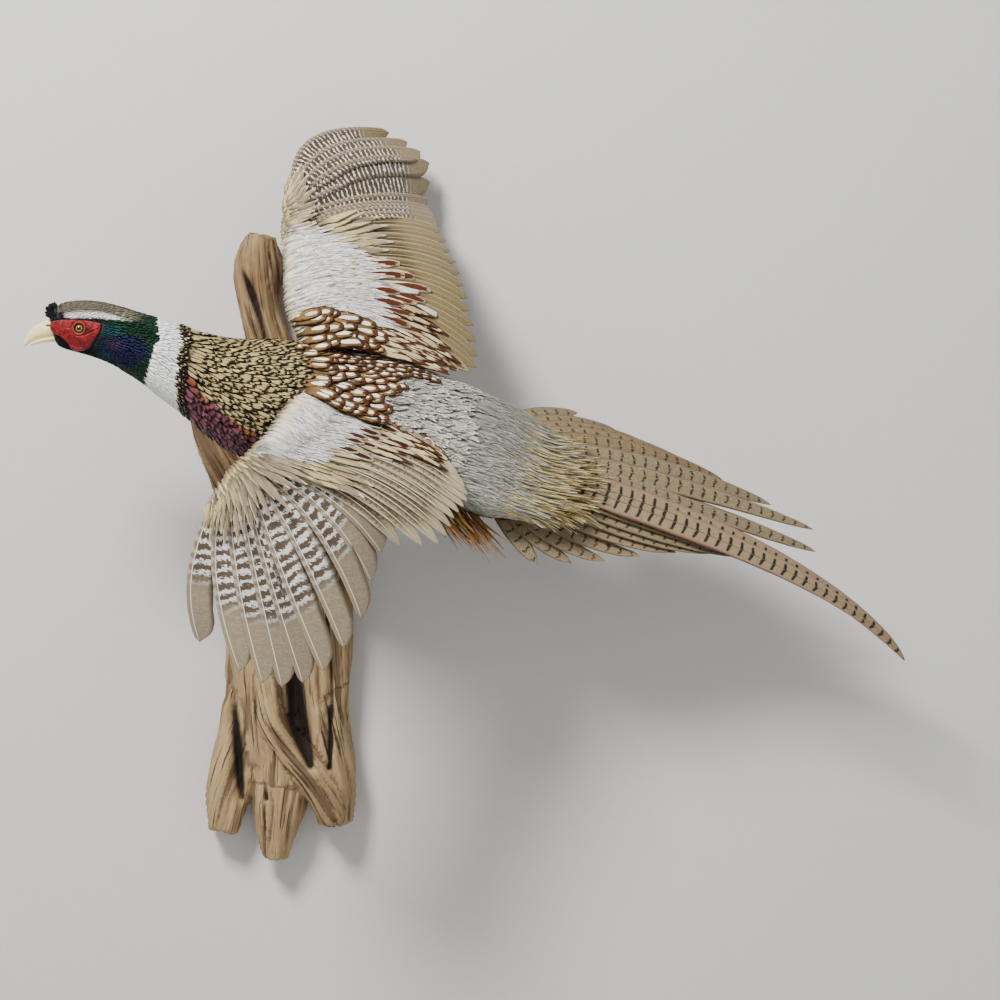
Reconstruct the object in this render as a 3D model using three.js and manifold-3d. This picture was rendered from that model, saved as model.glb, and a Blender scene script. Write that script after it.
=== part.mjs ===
// Taxidermy pheasant in flight on its driftwood wall mount, life size, in millimetres.
// +X runs from the bird's head towards its tail, +Z is up and +Y runs into the wall.
// The flat back of the driftwood lies on the plane y = 0, so the whole piece is at y < 0.
import * as THREE from 'three';
import Module from 'manifold-3d';

const wasm = await Module();
wasm.setup();

// ---------------------------------------------------------------- driving dimensions
const GAP = 0.5;
// Largest change of a surface when needless facets are merged.
const SIMPLIFY = { tail: 0.12, quills: 0.1, steel: 0.01, wood: 0.3, plain: 0.2 };
const HEAD_ROLL = 0;
const TRUNK_ROLL = 60;
const RING_POINTS = 16;

const EYE_RADIUS = 5.4;
const EYE_X = -167.5;
const EYE_Z = 213.6;
const EYE_SPREAD = 14.2;
const HEAD_MID_Y = -222;

const PRIMARIES = 10;
const SECONDARIES = 12;
const TERTIALS = 3;
const PRIMARY_HALF_WIDTH = 11.5;
const SECONDARY_HALF_WIDTH = 16;
const VANE_THICKNESS = 1.1;
const COVERT_THICKNESS = 5.5;
const WING_STATION_STEP = 32;

const TAIL_PAIRS = 8;
const TAIL_HALF_WIDTH = 13;
const TAIL_CENTRE_HALF_WIDTH = 15.5;
const TAIL_STATION_STEP = 50;
const TAIL_THICKNESS = 1.2;

const TARSUS_RADIUS = 4.2;
const TOE_RADIUS = 2.9;
const MIDDLE_TOE = 50;
const SIDE_TOE = 37;
const HIND_TOE = 15;
const CLAW_LENGTH = 11;
const SPUR_LENGTH = 13;

const ROD_RADIUS = 3;
const HANGER_CENTRE = [20, 130];
const HANGER_SIZE = [52, 11, 1.6];
const HANGER_RECESS = 3.2;
const HANGER_TEETH = 9;

// Stations of the body from the bill's root to the end of the rump plumage:
// centre of the section, half width across the bird, half height back to belly.
const BODY = [
  [-207, -222, 213.5, 8.5, 9],
  [-200, -222, 215, 12, 14.5],
  [-188, -222, 217, 16.5, 22],
  [-171, -222, 217, 18.5, 26],
  [-150, -221.5, 213.5, 20.5, 28],
  [-128, -220, 206, 25, 29.5],
  [-107, -216, 197, 30, 33],
  [-88, -212, 188, 34.5, 37],
  [-67, -206, 176, 40, 42],
  [-40, -199, 163, 49, 48],
  [-6, -193, 150, 62, 58],
  [33, -189, 141, 68, 63],
  [82, -187, 132, 69, 64],
  [131, -184, 121, 68, 62],
  [171, -181, 109, 66, 58],
  [210, -177, 97, 65, 51],
  [245, -174, 84, 64, 40],
  [272, -172, 73, 55, 29],
  [291, -170, 65, 42, 19],
  [304, -169, 60, 27, 11],
];
// Cuts between head, neck, trunk and rump, as a fraction of the body's length.
const CUT_HEAD_NECK = 0.255;
const CUT_NECK_TRUNK = 0.435;
const CUT_TRUNK_RUMP = 0.775;

// Guide stations of a wing. Each row is one feather counted from the outermost primary:
// its number, the wing's front edge, the quill's root, the bend of the vane, the tip.
const LEFT_WING = [
  [0, [-36, -329, 40], [-25, -327, 50], [-65, -327, -23], [-46, -292, -86]],
  [1, [-30, -329, 47], [-19, -326, 54], [-41, -328, -16], [-8, -290, -114]],
  [3, [-21, -328, 64], [-6, -324, 61], [6, -327, -7], [32, -288, -129]],
  [5, [-12, -325, 76], [5, -321, 66], [27, -322, -4], [71, -283, -114]],
  [7, [-4, -321, 84], [16, -317, 72], [74, -314, 34], [107, -277, -64]],
  [9, [2, -316, 90], [25, -312, 78], [93, -306, 51], [125, -268, -2]],
  [12, [14, -293, 107], [38, -297, 87], [126, -288, 70], [180, -252, 6]],
  [15, [24, -272, 124], [52, -280, 97], [139, -272, 90], [195, -240, 30]],
  [19, [35, -252, 139], [69, -264, 113], [154, -256, 105], [208, -232, 53]],
  [24, [47, -244, 150], [81, -250, 133], [139, -247, 121], [182, -236, 95]],
];
const RIGHT_WING = [
  [0, [26, -142, 362], [32, -143, 360], [28, -106, 436], [123, -34, 430]],
  [1, [26, -145, 356], [34, -146, 354], [47, -112, 423], [142, -28, 421]],
  [3, [24, -152, 342], [35, -152, 340], [76, -122, 408], [165, -28, 399]],
  [5, [24, -158, 332], [37, -158, 328], [107, -125, 364], [164, -40, 359]],
  [7, [23, -162, 323], [39, -162, 319], [112, -133, 356], [169, -56, 345]],
  [9, [23, -166, 316], [40, -166, 312], [116, -140, 347], [174, -70, 334]],
  [13, [25, -176, 281], [55, -178, 290], [139, -160, 313], [194, -108, 289]],
  [17, [26, -182, 248], [72, -186, 262], [156, -172, 275], [209, -135, 238]],
  [21, [31, -186, 223], [86, -192, 233], [160, -182, 232], [215, -160, 180]],
  [24, [43, -192, 200], [93, -202, 206], [148, -196, 200], [190, -186, 176]],
];
// Guide stations of the tail from the outermost right feather, over the middle pair,
// to the outermost left one: feather number, root, bend, tip.
const TAIL = [
  [0, [230, -160, 116], [272, -142, 140], [318, -112, 136]],
  [2, [234, -163, 111], [316, -140, 133], [396, -108, 99]],
  [4, [238, -166, 105], [360, -150, 118], [466, -112, 66]],
  [6, [242, -168, 98], [400, -158, 77], [555, -122, 17]],
  [7, [244, -170, 93], [419, -162, 52], [556, -130, -5]],
  [8, [245, -171, 87], [560, -166, -1], [645, -142, -114]],
  [9, [245, -172, 83], [545, -172, -12], [607, -151, -80]],
  [10, [244, -172, 80], [429, -172, 4], [530, -152, -19]],
  [11, [242, -172, 77], [389, -174, 5], [490, -158, -10]],
  [13, [239, -171, 71], [330, -179, 8], [414, -168, -5]],
  [15, [236, -169, 66], [284, -181, 2], [343, -176, -13]],
  [17, [231, -167, 61], [246, -180, 18], [276, -181, -15]],
];

// The two halves of the bill: centre, half width and half height at each station.
const UPPER_BILL = [
  [[-192, HEAD_MID_Y, 215.5], 6.6, 8.6],
  [[-203, HEAD_MID_Y, 213.6], 6.0, 7.2],
  [[-212, HEAD_MID_Y, 209.6], 4.4, 5.4],
  [[-219.5, HEAD_MID_Y, 204.6], 2.8, 3.7],
  [[-224.6, HEAD_MID_Y, 197.4], 0.8, 1.0],
];

const LOWER_BILL = [
  [[-189, HEAD_MID_Y, 205.2], 5.4, 3.4],
  [[-200, HEAD_MID_Y, 203.4], 4.6, 2.8],
  [[-210, HEAD_MID_Y, 201.4], 3.2, 2.0],
  [[-218.2, HEAD_MID_Y, 198.6], 1.2, 0.9],
];

// Limbs of the driftwood: centre, half width and half depth at each station.
const WOOD_LIMBS = [
  [[[-9, -22, 324], 15, 20], [[-12, -22, 292], 27, 25], [[-10, -22, 245], 20, 26],
    [[2, -22, 196], 27, 32], [[22, -22, 100], 43, 42], [[24, -22, 0], 58, 44],
    [[19, -22, -108], 66, 43], [[16, -22, -190], 61, 41], [[14, -20, -226], 50, 34]],
  [[[-80, -20, 148], 7, 9], [[-62, -20, 104], 15, 20], [[-22, -22, 40], 30, 34],
    [[2, -22, -30], 40, 40]],
  [[[-20, -20, -170], 30, 34], [[-42, -20, -250], 25, 27], [[-50, -18, -297], 16, 19]],
  [[[14, -22, -180], 30, 38], [[10, -22, -270], 28, 32], [[5, -20, -328], 12, 16]],
  [[[46, -22, -170], 34, 38], [[64, -22, -240], 25, 30], [[67, -20, -290], 17, 20]],
  [[[-2, -48, -110], 13, 12], [[8, -55, -180], 19, 15], [[46, -50, -240], 18, 15],
    [[68, -36, -284], 12, 12]],
];

// Deep fissures and the hollow beside the twisted limb, sunk into the front.
const WOOD_GROOVES = [
  [[[-28, -52, 290], 1, 5], [[-17, -51, 262], 2.6, 11], [[-6, -54, 224], 1, 6]],
  [[[-38, -62, -106], 1.5, 8], [[-32, -60, -190], 5, 16], [[-26, -48, -262], 2.5, 10]],
  [[[20, -72, -126], 3, 10], [[34, -66, -188], 9, 22], [[44, -60, -216], 3, 10]],
];

// Steel rods from inside the wood into the body.
const ROD_LINES = [
  [[22, -44, 96], [30, -160, 124]],
  [[46, -44, 66], [92, -160, 112]],
];

// ---------------------------------------------------------------- small helpers
const rad = THREE.MathUtils.degToRad;
const vec = (p) => new THREE.Vector3(p[0], p[1], p[2]);
const smooth = (x) => THREE.MathUtils.smoothstep(x, 0, 1);

// Smooth value at f between rows whose first entry is the row's place.
function between(rows, f, pick) {
  let i = 0;
  while (i < rows.length - 2 && f > rows[i + 1][0]) i += 1;
  const a = rows[i];
  const b = rows[i + 1];
  const before = rows[Math.max(0, i - 1)];
  const after = rows[Math.min(rows.length - 1, i + 2)];
  const span = b[0] - a[0];
  const t = (f - a[0]) / span;
  const pa = pick(a);
  const pb = pick(b);
  const slopeA = pick(b).clone().sub(pick(before)).multiplyScalar(span / (b[0] - before[0]));
  const slopeB = pick(after).clone().sub(pick(a)).multiplyScalar(span / (after[0] - a[0]));
  const t2 = t * t;
  const t3 = t2 * t;
  return pa.clone().multiplyScalar(2 * t3 - 3 * t2 + 1)
    .addScaledVector(slopeA, t3 - 2 * t2 + t)
    .addScaledVector(pb, -2 * t3 + 3 * t2)
    .addScaledVector(slopeB, t3 - t2);
}

// Closed geometry from a list of points and a list of triangles.
function closedGeometry(points, triangles) {
  const geometry = new THREE.BufferGeometry();
  const flat = points.flatMap((p) => [p.x, p.y, p.z]);
  geometry.setAttribute('position', new THREE.Float32BufferAttribute(flat, 3));
  geometry.setIndex(triangles.flat());
  return geometry;
}

// Closed loft through rings with the same number of points, capped with fans.
function loft(rings) {
  const n = rings[0].length;
  const points = rings.flat();
  const triangles = [];
  for (let r = 0; r < rings.length - 1; r += 1) {
    for (let i = 0; i < n; i += 1) {
      const a = r * n + i;
      const b = r * n + ((i + 1) % n);
      triangles.push([a, b, b + n], [a, b + n, a + n]);
    }
  }
  const capStart = points.length;
  const middle = (ring) => ring.reduce((s, p) => s.add(p), new THREE.Vector3()).divideScalar(n);
  points.push(middle(rings[0]), middle(rings[rings.length - 1]));
  const last = (rings.length - 1) * n;
  for (let i = 0; i < n; i += 1) {
    const j = (i + 1) % n;
    triangles.push([capStart, j, i], [capStart + 1, last + i, last + j]);
  }
  return closedGeometry(points, triangles);
}

// Elliptical ring of points about a centre, on two half axes.
function ring(centre, across, upward, count = RING_POINTS, square = 1) {
  const points = [];
  for (let i = 0; i < count; i += 1) {
    const angle = (2 * Math.PI * i) / count;
    const c = Math.cos(angle);
    const s = Math.sin(angle);
    points.push(centre.clone()
      .addScaledVector(across, Math.sign(c) * Math.abs(c) ** square)
      .addScaledVector(upward, Math.sign(s) * Math.abs(s) ** square));
  }
  return points;
}

// Tapered limb along a smooth line of [centre, half width, half depth] stations.
function limb(stations, steps, count = 10, grow = 0) {
  const path = new THREE.CatmullRomCurve3(stations.map((s) => vec(s[0])), false, 'centripetal');
  const last = stations.length - 1;
  const rows = stations.map((s, i) => [i / last, new THREE.Vector3(s[1], s[2], 0)]);
  const rings = [];
  const side = new THREE.Vector3(0, 0, 1);
  for (let i = 0; i <= steps; i += 1) {
    const t = i / steps;
    const tangent = path.getTangent(t);
    if (i === 0 && Math.abs(tangent.z) > 0.8) side.set(1, 0, 0);
    side.addScaledVector(tangent, -side.dot(tangent)).normalize();
    const up = tangent.clone().cross(side);
    const size = between(rows, t, (r) => r[1]);
    rings.push(ring(
      path.getPoint(t),
      side.clone().multiplyScalar(size.x + grow),
      up.clone().multiplyScalar(size.y + grow),
      count,
    ));
  }
  return loft(rings);
}

// ---------------------------------------------------------------- solids
function toSolid(geometry) {
  const position = geometry.getAttribute('position');
  const keys = new Map();
  const vertices = [];
  const remap = [];
  for (let i = 0; i < position.count; i += 1) {
    const p = [position.getX(i), position.getY(i), position.getZ(i)];
    const key = p.map((v) => Math.round(v * 1e5)).join(',');
    if (!keys.has(key)) {
      keys.set(key, vertices.length / 3);
      vertices.push(...p);
    }
    remap.push(keys.get(key));
  }
  const index = geometry.index ? Array.from(geometry.index.array) : remap.map((_, i) => i);
  const triangles = [];
  for (let i = 0; i < index.length; i += 3) {
    const t = [remap[index[i]], remap[index[i + 1]], remap[index[i + 2]]];
    if (t[0] !== t[1] && t[1] !== t[2] && t[2] !== t[0]) triangles.push(...t);
  }
  const mesh = new wasm.Mesh({
    numProp: 3,
    vertProperties: new Float32Array(vertices),
    triVerts: new Uint32Array(triangles),
  });
  const solid = new wasm.Manifold(mesh);
  if (solid.volume() > 0) return solid;
  for (let i = 0; i < triangles.length; i += 3) {
    [triangles[i], triangles[i + 1]] = [triangles[i + 1], triangles[i]];
  }
  mesh.triVerts = new Uint32Array(triangles);
  return new wasm.Manifold(mesh);
}

// The largest single piece of a solid, so that no crumb of a cut is kept.
function largest(solid) {
  const pieces = solid.decompose();
  pieces.sort((a, b) => b.volume() - a.volume());
  return pieces[0];
}

function toGeometry(solid) {
  const mesh = solid.getMesh();
  const geometry = new THREE.BufferGeometry();
  geometry.setAttribute('position', new THREE.BufferAttribute(mesh.vertProperties, 3));
  geometry.setIndex(new THREE.BufferAttribute(mesh.triVerts, 1));
  const flat = geometry.toNonIndexed();
  flat.computeVertexNormals();
  return flat;
}

const finish = {
  plumage: { color: 0x8a6a44, roughness: 0.85, metalness: 0 },
  hood: { color: 0x1f2a4a, roughness: 0.6, metalness: 0 },
  collar: { color: 0xe8e4da, roughness: 0.85, metalness: 0 },
  mantle: { color: 0xa8702f, roughness: 0.8, metalness: 0 },
  rump: { color: 0x9aa389, roughness: 0.85, metalness: 0 },
  quills: { color: 0xb8a888, roughness: 0.75, metalness: 0 },
  tail: { color: 0xb39868, roughness: 0.75, metalness: 0 },
  horn: { color: 0xd8cfa8, roughness: 0.45, metalness: 0 },
  claw: { color: 0x3a332b, roughness: 0.45, metalness: 0 },
  scale: { color: 0x8b8474, roughness: 0.6, metalness: 0 },
  eye: { color: 0x2a1c0c, roughness: 0.08, metalness: 0 },
  wood: { color: 0x9c7a55, roughness: 0.85, metalness: 0 },
  steel: { color: 0x8d8f92, roughness: 0.4, metalness: 1 },
};

const model = new THREE.Group();
model.name = 'taxidermy_pheasant';

function add(name, solid, look) {
  const material = new THREE.MeshStandardMaterial(finish[look]);
  material.name = look;
  const plain = largest(largest(solid).simplify(SIMPLIFY[look] ?? SIMPLIFY.plain));
  const mesh = new THREE.Mesh(toGeometry(plain), material);
  mesh.name = name;
  model.add(mesh);
}

// ---------------------------------------------------------------- body
const bodyPath = new THREE.CatmullRomCurve3(BODY.map(vec), false, 'centripetal');
const bodyLast = BODY.length - 1;
const bodyRows = BODY.map((b, i) => [i / bodyLast, new THREE.Vector3(b[3], b[4], 0)]);

// Centre, forward line and the bird's own across and back directions at a station.
function bodyFrame(u) {
  const centre = bodyPath.getPoint(u);
  const tangent = bodyPath.getTangent(u);
  const roll = rad(THREE.MathUtils.lerp(HEAD_ROLL, TRUNK_ROLL, smooth((u - 0.18) / 0.36)));
  const right = new THREE.Vector3(0, Math.cos(roll), Math.sin(roll));
  right.addScaledVector(tangent, -right.dot(tangent)).normalize();
  const back = right.clone().cross(tangent).negate();
  if (back.dot(new THREE.Vector3(0, -Math.sin(roll), Math.cos(roll))) < 0) back.negate();
  const size = between(bodyRows, u, (r) => r[1]);
  return { centre, tangent, right, back, halfWidth: size.x, halfHeight: size.y };
}

function bodyPiece(from, to, steps, grow = 0) {
  const rings = [];
  for (let i = 0; i <= steps; i += 1) {
    const f = bodyFrame(THREE.MathUtils.lerp(from, to, i / steps));
    const shift = i === 0 && from > 0 ? GAP / 2 : 0;
    const unshift = i === steps && to < 1 ? -GAP / 2 : 0;
    f.centre.addScaledVector(f.tangent, (shift + unshift) * (grow > 0 ? -1 : 1));
    rings.push(ring(
      f.centre,
      f.right.multiplyScalar(f.halfWidth + grow),
      f.back.multiplyScalar(f.halfHeight + grow),
    ));
  }
  return toSolid(loft(rings));
}

const bodyGrown = bodyPiece(0, 1, 34, GAP);

function ball(centre, radius, detail = 6) {
  return toSolid(new THREE.SphereGeometry(radius, detail * 2, detail).translate(...centre));
}

// ---------------------------------------------------------------- thin sheets of feathers
// Turns an open sheet into a closed slab with the given thickness at every point.
function slab(points, triangles, thickness) {
  const normals = points.map(() => new THREE.Vector3());
  const edges = new Map();
  for (const [a, b, c] of triangles) {
    const ab = points[b].clone().sub(points[a]);
    const ac = points[c].clone().sub(points[a]);
    const normal = ab.cross(ac);
    [a, b, c].forEach((i) => normals[i].add(normal));
    [[a, b], [b, c], [c, a]].forEach(([i, j]) => edges.set(`${i},${j}`, [i, j]));
  }
  const count = points.length;
  const all = [];
  for (const side of [0.5, -0.5]) {
    points.forEach((p, i) => {
      all.push(p.clone().addScaledVector(normals[i].clone().normalize(), thickness[i] * side));
    });
  }
  const faces = triangles.map((t) => [...t]);
  triangles.forEach(([a, b, c]) => faces.push([a + count, c + count, b + count]));
  for (const [i, j] of edges.values()) {
    if (!edges.has(`${j},${i}`)) faces.push([j, i, i + count], [j, i + count, j + count]);
  }
  return toSolid(closedGeometry(all, faces));
}

// Distances along a feather at which the comb has a row of points.
function rowsOf(quill, step) {
  const body = quill.length - quill.taper;
  const count = Math.max(2, Math.round(body / step));
  return Array.from({ length: count + 1 }, (_, j) => (j < count ? Math.min(j * step, body) : body));
}

// Vector from one feather to another at the same distance along both, square to the first.
function beside(quill, other, r) {
  const t = Math.min(1, r / quill.length);
  const tangent = quill.at(Math.min(1, t + 0.02)).sub(quill.at(Math.max(0, t - 0.02))).normalize();
  const step = other.at(Math.min(1, r / other.length)).sub(quill.at(t));
  return step.addScaledVector(tangent, -step.dot(tangent));
}

// How many rows two neighbours share before they part.
function sharedRows(quill, other, rows, otherRows) {
  const most = Math.min(rows.length, otherRows.length) - 1;
  for (let j = 0; j < most; j += 1) {
    const r = rows[j];
    const reach = quill.halfWidth(r / quill.length) + other.halfWidth(r / other.length);
    if (beside(quill, other, r).length() > reach) return j;
  }
  return most;
}

// Feathers side by side as one comb: neighbours share an edge until they part near the tips.
// The feathers just before and after the comb set where its outer edges lie.
function comb(quills, first, last, step, grow = 0) {
  const points = [];
  const thickness = [];
  const triangles = [];
  const put = (p, t) => {
    points.push(p);
    thickness.push(t);
    return points.length - 1;
  };
  const rows = quills.map((q) => rowsOf(q, step));
  const shared = quills.slice(1).map((q, i) => sharedRows(quills[i], q, rows[i], rows[i + 1]));
  let edgeBefore = [];
  for (let i = first; i <= last; i += 1) {
    const q = quills[i];
    const edge = { before: [], after: [] };
    const across = new THREE.Vector3();
    // Point of the edge towards a neighbour k, on the side given by sign.
    const place = (r, j, k, sign) => {
      const p = q.at(r / q.length);
      const half = q.halfWidth(r / q.length);
      const other = quills[k];
      const outer = k < first || k > last ? grow : 0;
      if (!other) return p.addScaledVector(across, sign * (half + outer));
      const gap = beside(q, other, r).length() / 2;
      if (j < shared[Math.min(i, k)]) {
        const middle = other.at(rows[k][j] / other.length).add(p).multiplyScalar(0.5);
        const inside = k < first || k > last ? GAP - 2 * grow : 0;
        return middle.addScaledVector(across, -sign * inside);
      }
      const room = r < other.length ? gap - GAP : half;
      return p.addScaledVector(across, sign * (Math.min(half, room) + 2 * outer));
    };
    rows[i].forEach((r, j) => {
      const spread = new THREE.Vector3();
      if (quills[i + 1]) spread.add(beside(q, quills[i + 1], r));
      if (quills[i - 1]) spread.sub(beside(q, quills[i - 1], r));
      const tangent = q.at(Math.min(1, r / q.length + 0.02)).sub(q.at(r / q.length)).normalize();
      if (j === 0 || spread.dot(across) > 0) across.copy(spread);
      across.addScaledVector(tangent, -across.dot(tangent)).normalize();
      const thick = q.thickness(r / q.length) + 2 * grow;
      edge.after.push(put(place(r, j, i + 1, 1), thick));
      const joined = i > first && j < shared[i - 1];
      edge.before.push(joined ? edgeBefore[j] : put(place(r, j, i - 1, -1), thick));
    });
    const end = rows[i].length - 1;
    const tip = put(q.at(1), q.thickness(1) + 2 * grow);
    for (let j = 0; j < end; j += 1) {
      const [b, a] = [edge.before, edge.after];
      triangles.push([b[j], a[j], a[j + 1]], [b[j], a[j + 1], b[j + 1]]);
    }
    triangles.push([edge.before[end], edge.after[end], tip]);
    edgeBefore = edge.after;
  }
  return slab(points, triangles, thickness);
}

// Adds groups of feathers as nodes, each kept clear of the flesh and of the group before.
function addCombs(groups, quills, step, look, flesh, prefix) {
  const cuts = [flesh, bodyGrown];
  for (const [name, first, last] of groups) {
    const sheet = cuts.reduce((s, cut) => s.subtract(cut), comb(quills, first, last, step));
    add(prefix + name, sheet, look);
    cuts.push(comb(quills, first, last, step, GAP));
  }
}

// A feather's line from its root over its bend to its tip.
function quillLine(rows, f) {
  const line = new THREE.QuadraticBezierCurve3(
    between(rows, f, (r) => vec(r[r.length - 3])),
    between(rows, f, (r) => vec(r[r.length - 2])),
    between(rows, f, (r) => vec(r[r.length - 1])),
  );
  return { at: (t) => line.getPointAt(t), length: line.getLength() };
}

// ---------------------------------------------------------------- wings
const WING_FEATHERS = PRIMARIES + SECONDARIES + TERTIALS;

// Place of a feather among the guide stations: the primaries keep their own numbers.
function wingPlace(i, rows) {
  const lastPrimary = PRIMARIES - 1;
  if (i <= lastPrimary) return i;
  const inner = (i - lastPrimary) / (WING_FEATHERS - 1 - lastPrimary);
  return THREE.MathUtils.lerp(lastPrimary, rows[rows.length - 1][0], inner);
}

function wingQuills(rows) {
  return Array.from({ length: WING_FEATHERS }, (_, i) => {
    const primary = i < PRIMARIES;
    const full = primary ? PRIMARY_HALF_WIDTH : SECONDARY_HALF_WIDTH;
    return {
      ...quillLine(rows, wingPlace(i, rows)),
      taper: primary ? 16 : 11,
      halfWidth: (t) => full * (0.7 + 0.3 * smooth(t * 3)) * (t > 0.85 ? 0.85 : 1),
      thickness: (t) => THREE.MathUtils.lerp(COVERT_THICKNESS, VANE_THICKNESS, smooth(t / 0.6)),
    };
  });
}

// Flesh of the arm and hand with the skin web in front of them: a loft from the shoulder
// to the hand, as wide as from the wing's front edge to just behind the quill roots.
function wingArm(rows, grow = 0) {
  const rings = [];
  const steps = 10;
  for (let i = 0; i <= steps; i += 1) {
    const f = THREE.MathUtils.lerp(rows[rows.length - 1][0], 0, i / steps);
    const front = between(rows, f, (r) => vec(r[1]));
    const root = between(rows, f, (r) => vec(r[2]));
    const bend = between(rows, f, (r) => vec(r[3]));
    const shoulder = between(rows, Math.min(f + 1.5, rows[rows.length - 1][0]), (r) => vec(r[1]));
    const hand = between(rows, Math.max(f - 1.5, 0), (r) => vec(r[1]));
    const along = hand.sub(shoulder).normalize();
    const chord = root.clone().addScaledVector(bend.sub(root).normalize(), 10).sub(front);
    const normal = chord.clone().cross(along).normalize();
    const share = f / rows[rows.length - 1][0];
    const thick = THREE.MathUtils.lerp(4.2, 13, smooth(share * 1.1)) + grow;
    const half = chord.length() / 2 + grow;
    rings.push(ring(
      front.addScaledVector(chord, 0.5),
      chord.clone().normalize().multiplyScalar(half),
      normal.multiplyScalar(thick),
      10,
    ));
  }
  return toSolid(loft(rings));
}

function addWing(side, rows) {
  const quills = wingQuills(rows);
  const armCut = wingArm(rows, GAP);
  add(`wing_${side}_arm`, wingArm(rows).subtract(bodyGrown), 'mantle');
  const groups = [
    ['primaries', 0, PRIMARIES - 1],
    ['secondaries', PRIMARIES, PRIMARIES + SECONDARIES - 1],
    ['tertials', PRIMARIES + SECONDARIES, WING_FEATHERS - 1],
  ];
  addCombs(groups, quills, WING_STATION_STEP, 'quills', armCut, `wing_${side}_`);
}

// ---------------------------------------------------------------- tail
function tailQuills() {
  const count = TAIL_PAIRS * 2 + 2;
  return Array.from({ length: count }, (_, i) => {
    const middle = i === count / 2 - 1 || i === count / 2;
    const line = quillLine(TAIL, i);
    const full = middle ? TAIL_CENTRE_HALF_WIDTH : TAIL_HALF_WIDTH;
    return {
      ...line,
      taper: Math.max(14, line.length * 0.07),
      halfWidth: (t) => full * (0.55 + 0.45 * smooth(t * 3)) * (1 - 0.78 * t ** (middle ? 2.2 : 3.4)),
      thickness: () => TAIL_THICKNESS,
    };
  });
}

function addTail() {
  const quills = tailQuills();
  const middle = TAIL_PAIRS;
  const groups = [
    ['right', 0, middle - 1],
    ['middle', middle, middle + 1],
    ['left', middle + 2, quills.length - 1],
  ];
  addCombs(groups, quills, TAIL_STATION_STEP, 'tail', bodyGrown, 'tail_');
}

// ---------------------------------------------------------------- head, bill and eyes
const eyeCentre = (side) => [EYE_X, HEAD_MID_Y + side * EYE_SPREAD, EYE_Z];
const EYE_SIDES = [['left', -1], ['right', 1]];

// Bill halves are lofted with their width across the head and their height upright.
function billHalf(stations, grow = 0) {
  const path = new THREE.CatmullRomCurve3(stations.map((s) => vec(s[0])));
  const last = stations.length - 1;
  const rows = stations.map((s, i) => [i / last, new THREE.Vector3(s[1], s[2], 0)]);
  const rings = [];
  const steps = 7;
  for (let i = 0; i <= steps; i += 1) {
    const size = between(rows, i / steps, (r) => r[1]);
    const tangent = path.getTangent(i / steps);
    const across = new THREE.Vector3(0, 1, 0);
    const upward = across.clone().cross(tangent);
    across.multiplyScalar(size.x + grow);
    upward.multiplyScalar(size.y + grow);
    rings.push(ring(path.getPoint(i / steps), across, upward, 10));
  }
  return toSolid(loft(rings));
}

function addHead() {
  let head = bodyPiece(0, CUT_HEAD_NECK, 10);
  for (const [, side] of EYE_SIDES) {
    head = head.subtract(ball(eyeCentre(side), EYE_RADIUS + GAP));
  }
  const upper = billHalf(UPPER_BILL);
  const lower = billHalf(LOWER_BILL).subtract(billHalf(UPPER_BILL, GAP));
  head = head.subtract(billHalf(UPPER_BILL, GAP)).subtract(billHalf(LOWER_BILL, GAP));
  add('head', head, 'hood');
  add('bill_upper', upper, 'horn');
  add('bill_lower', lower, 'horn');
  for (const [name, side] of EYE_SIDES) add(`eye_${name}`, ball(eyeCentre(side), EYE_RADIUS), 'eye');
}

// ---------------------------------------------------------------- legs tucked back
// Point by the body: station along it, then mm towards the belly and mm to the right.
function bodyPoint(x, belly, right) {
  let low = 0;
  let high = 1;
  for (let i = 0; i < 24; i += 1) {
    const mid = (low + high) / 2;
    if (bodyPath.getPoint(mid).x < x) low = mid;
    else high = mid;
  }
  const f = bodyFrame((low + high) / 2);
  return f.centre.addScaledVector(f.back, -belly).addScaledVector(f.right, right);
}

const point = (v) => [v.x, v.y, v.z];

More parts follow.
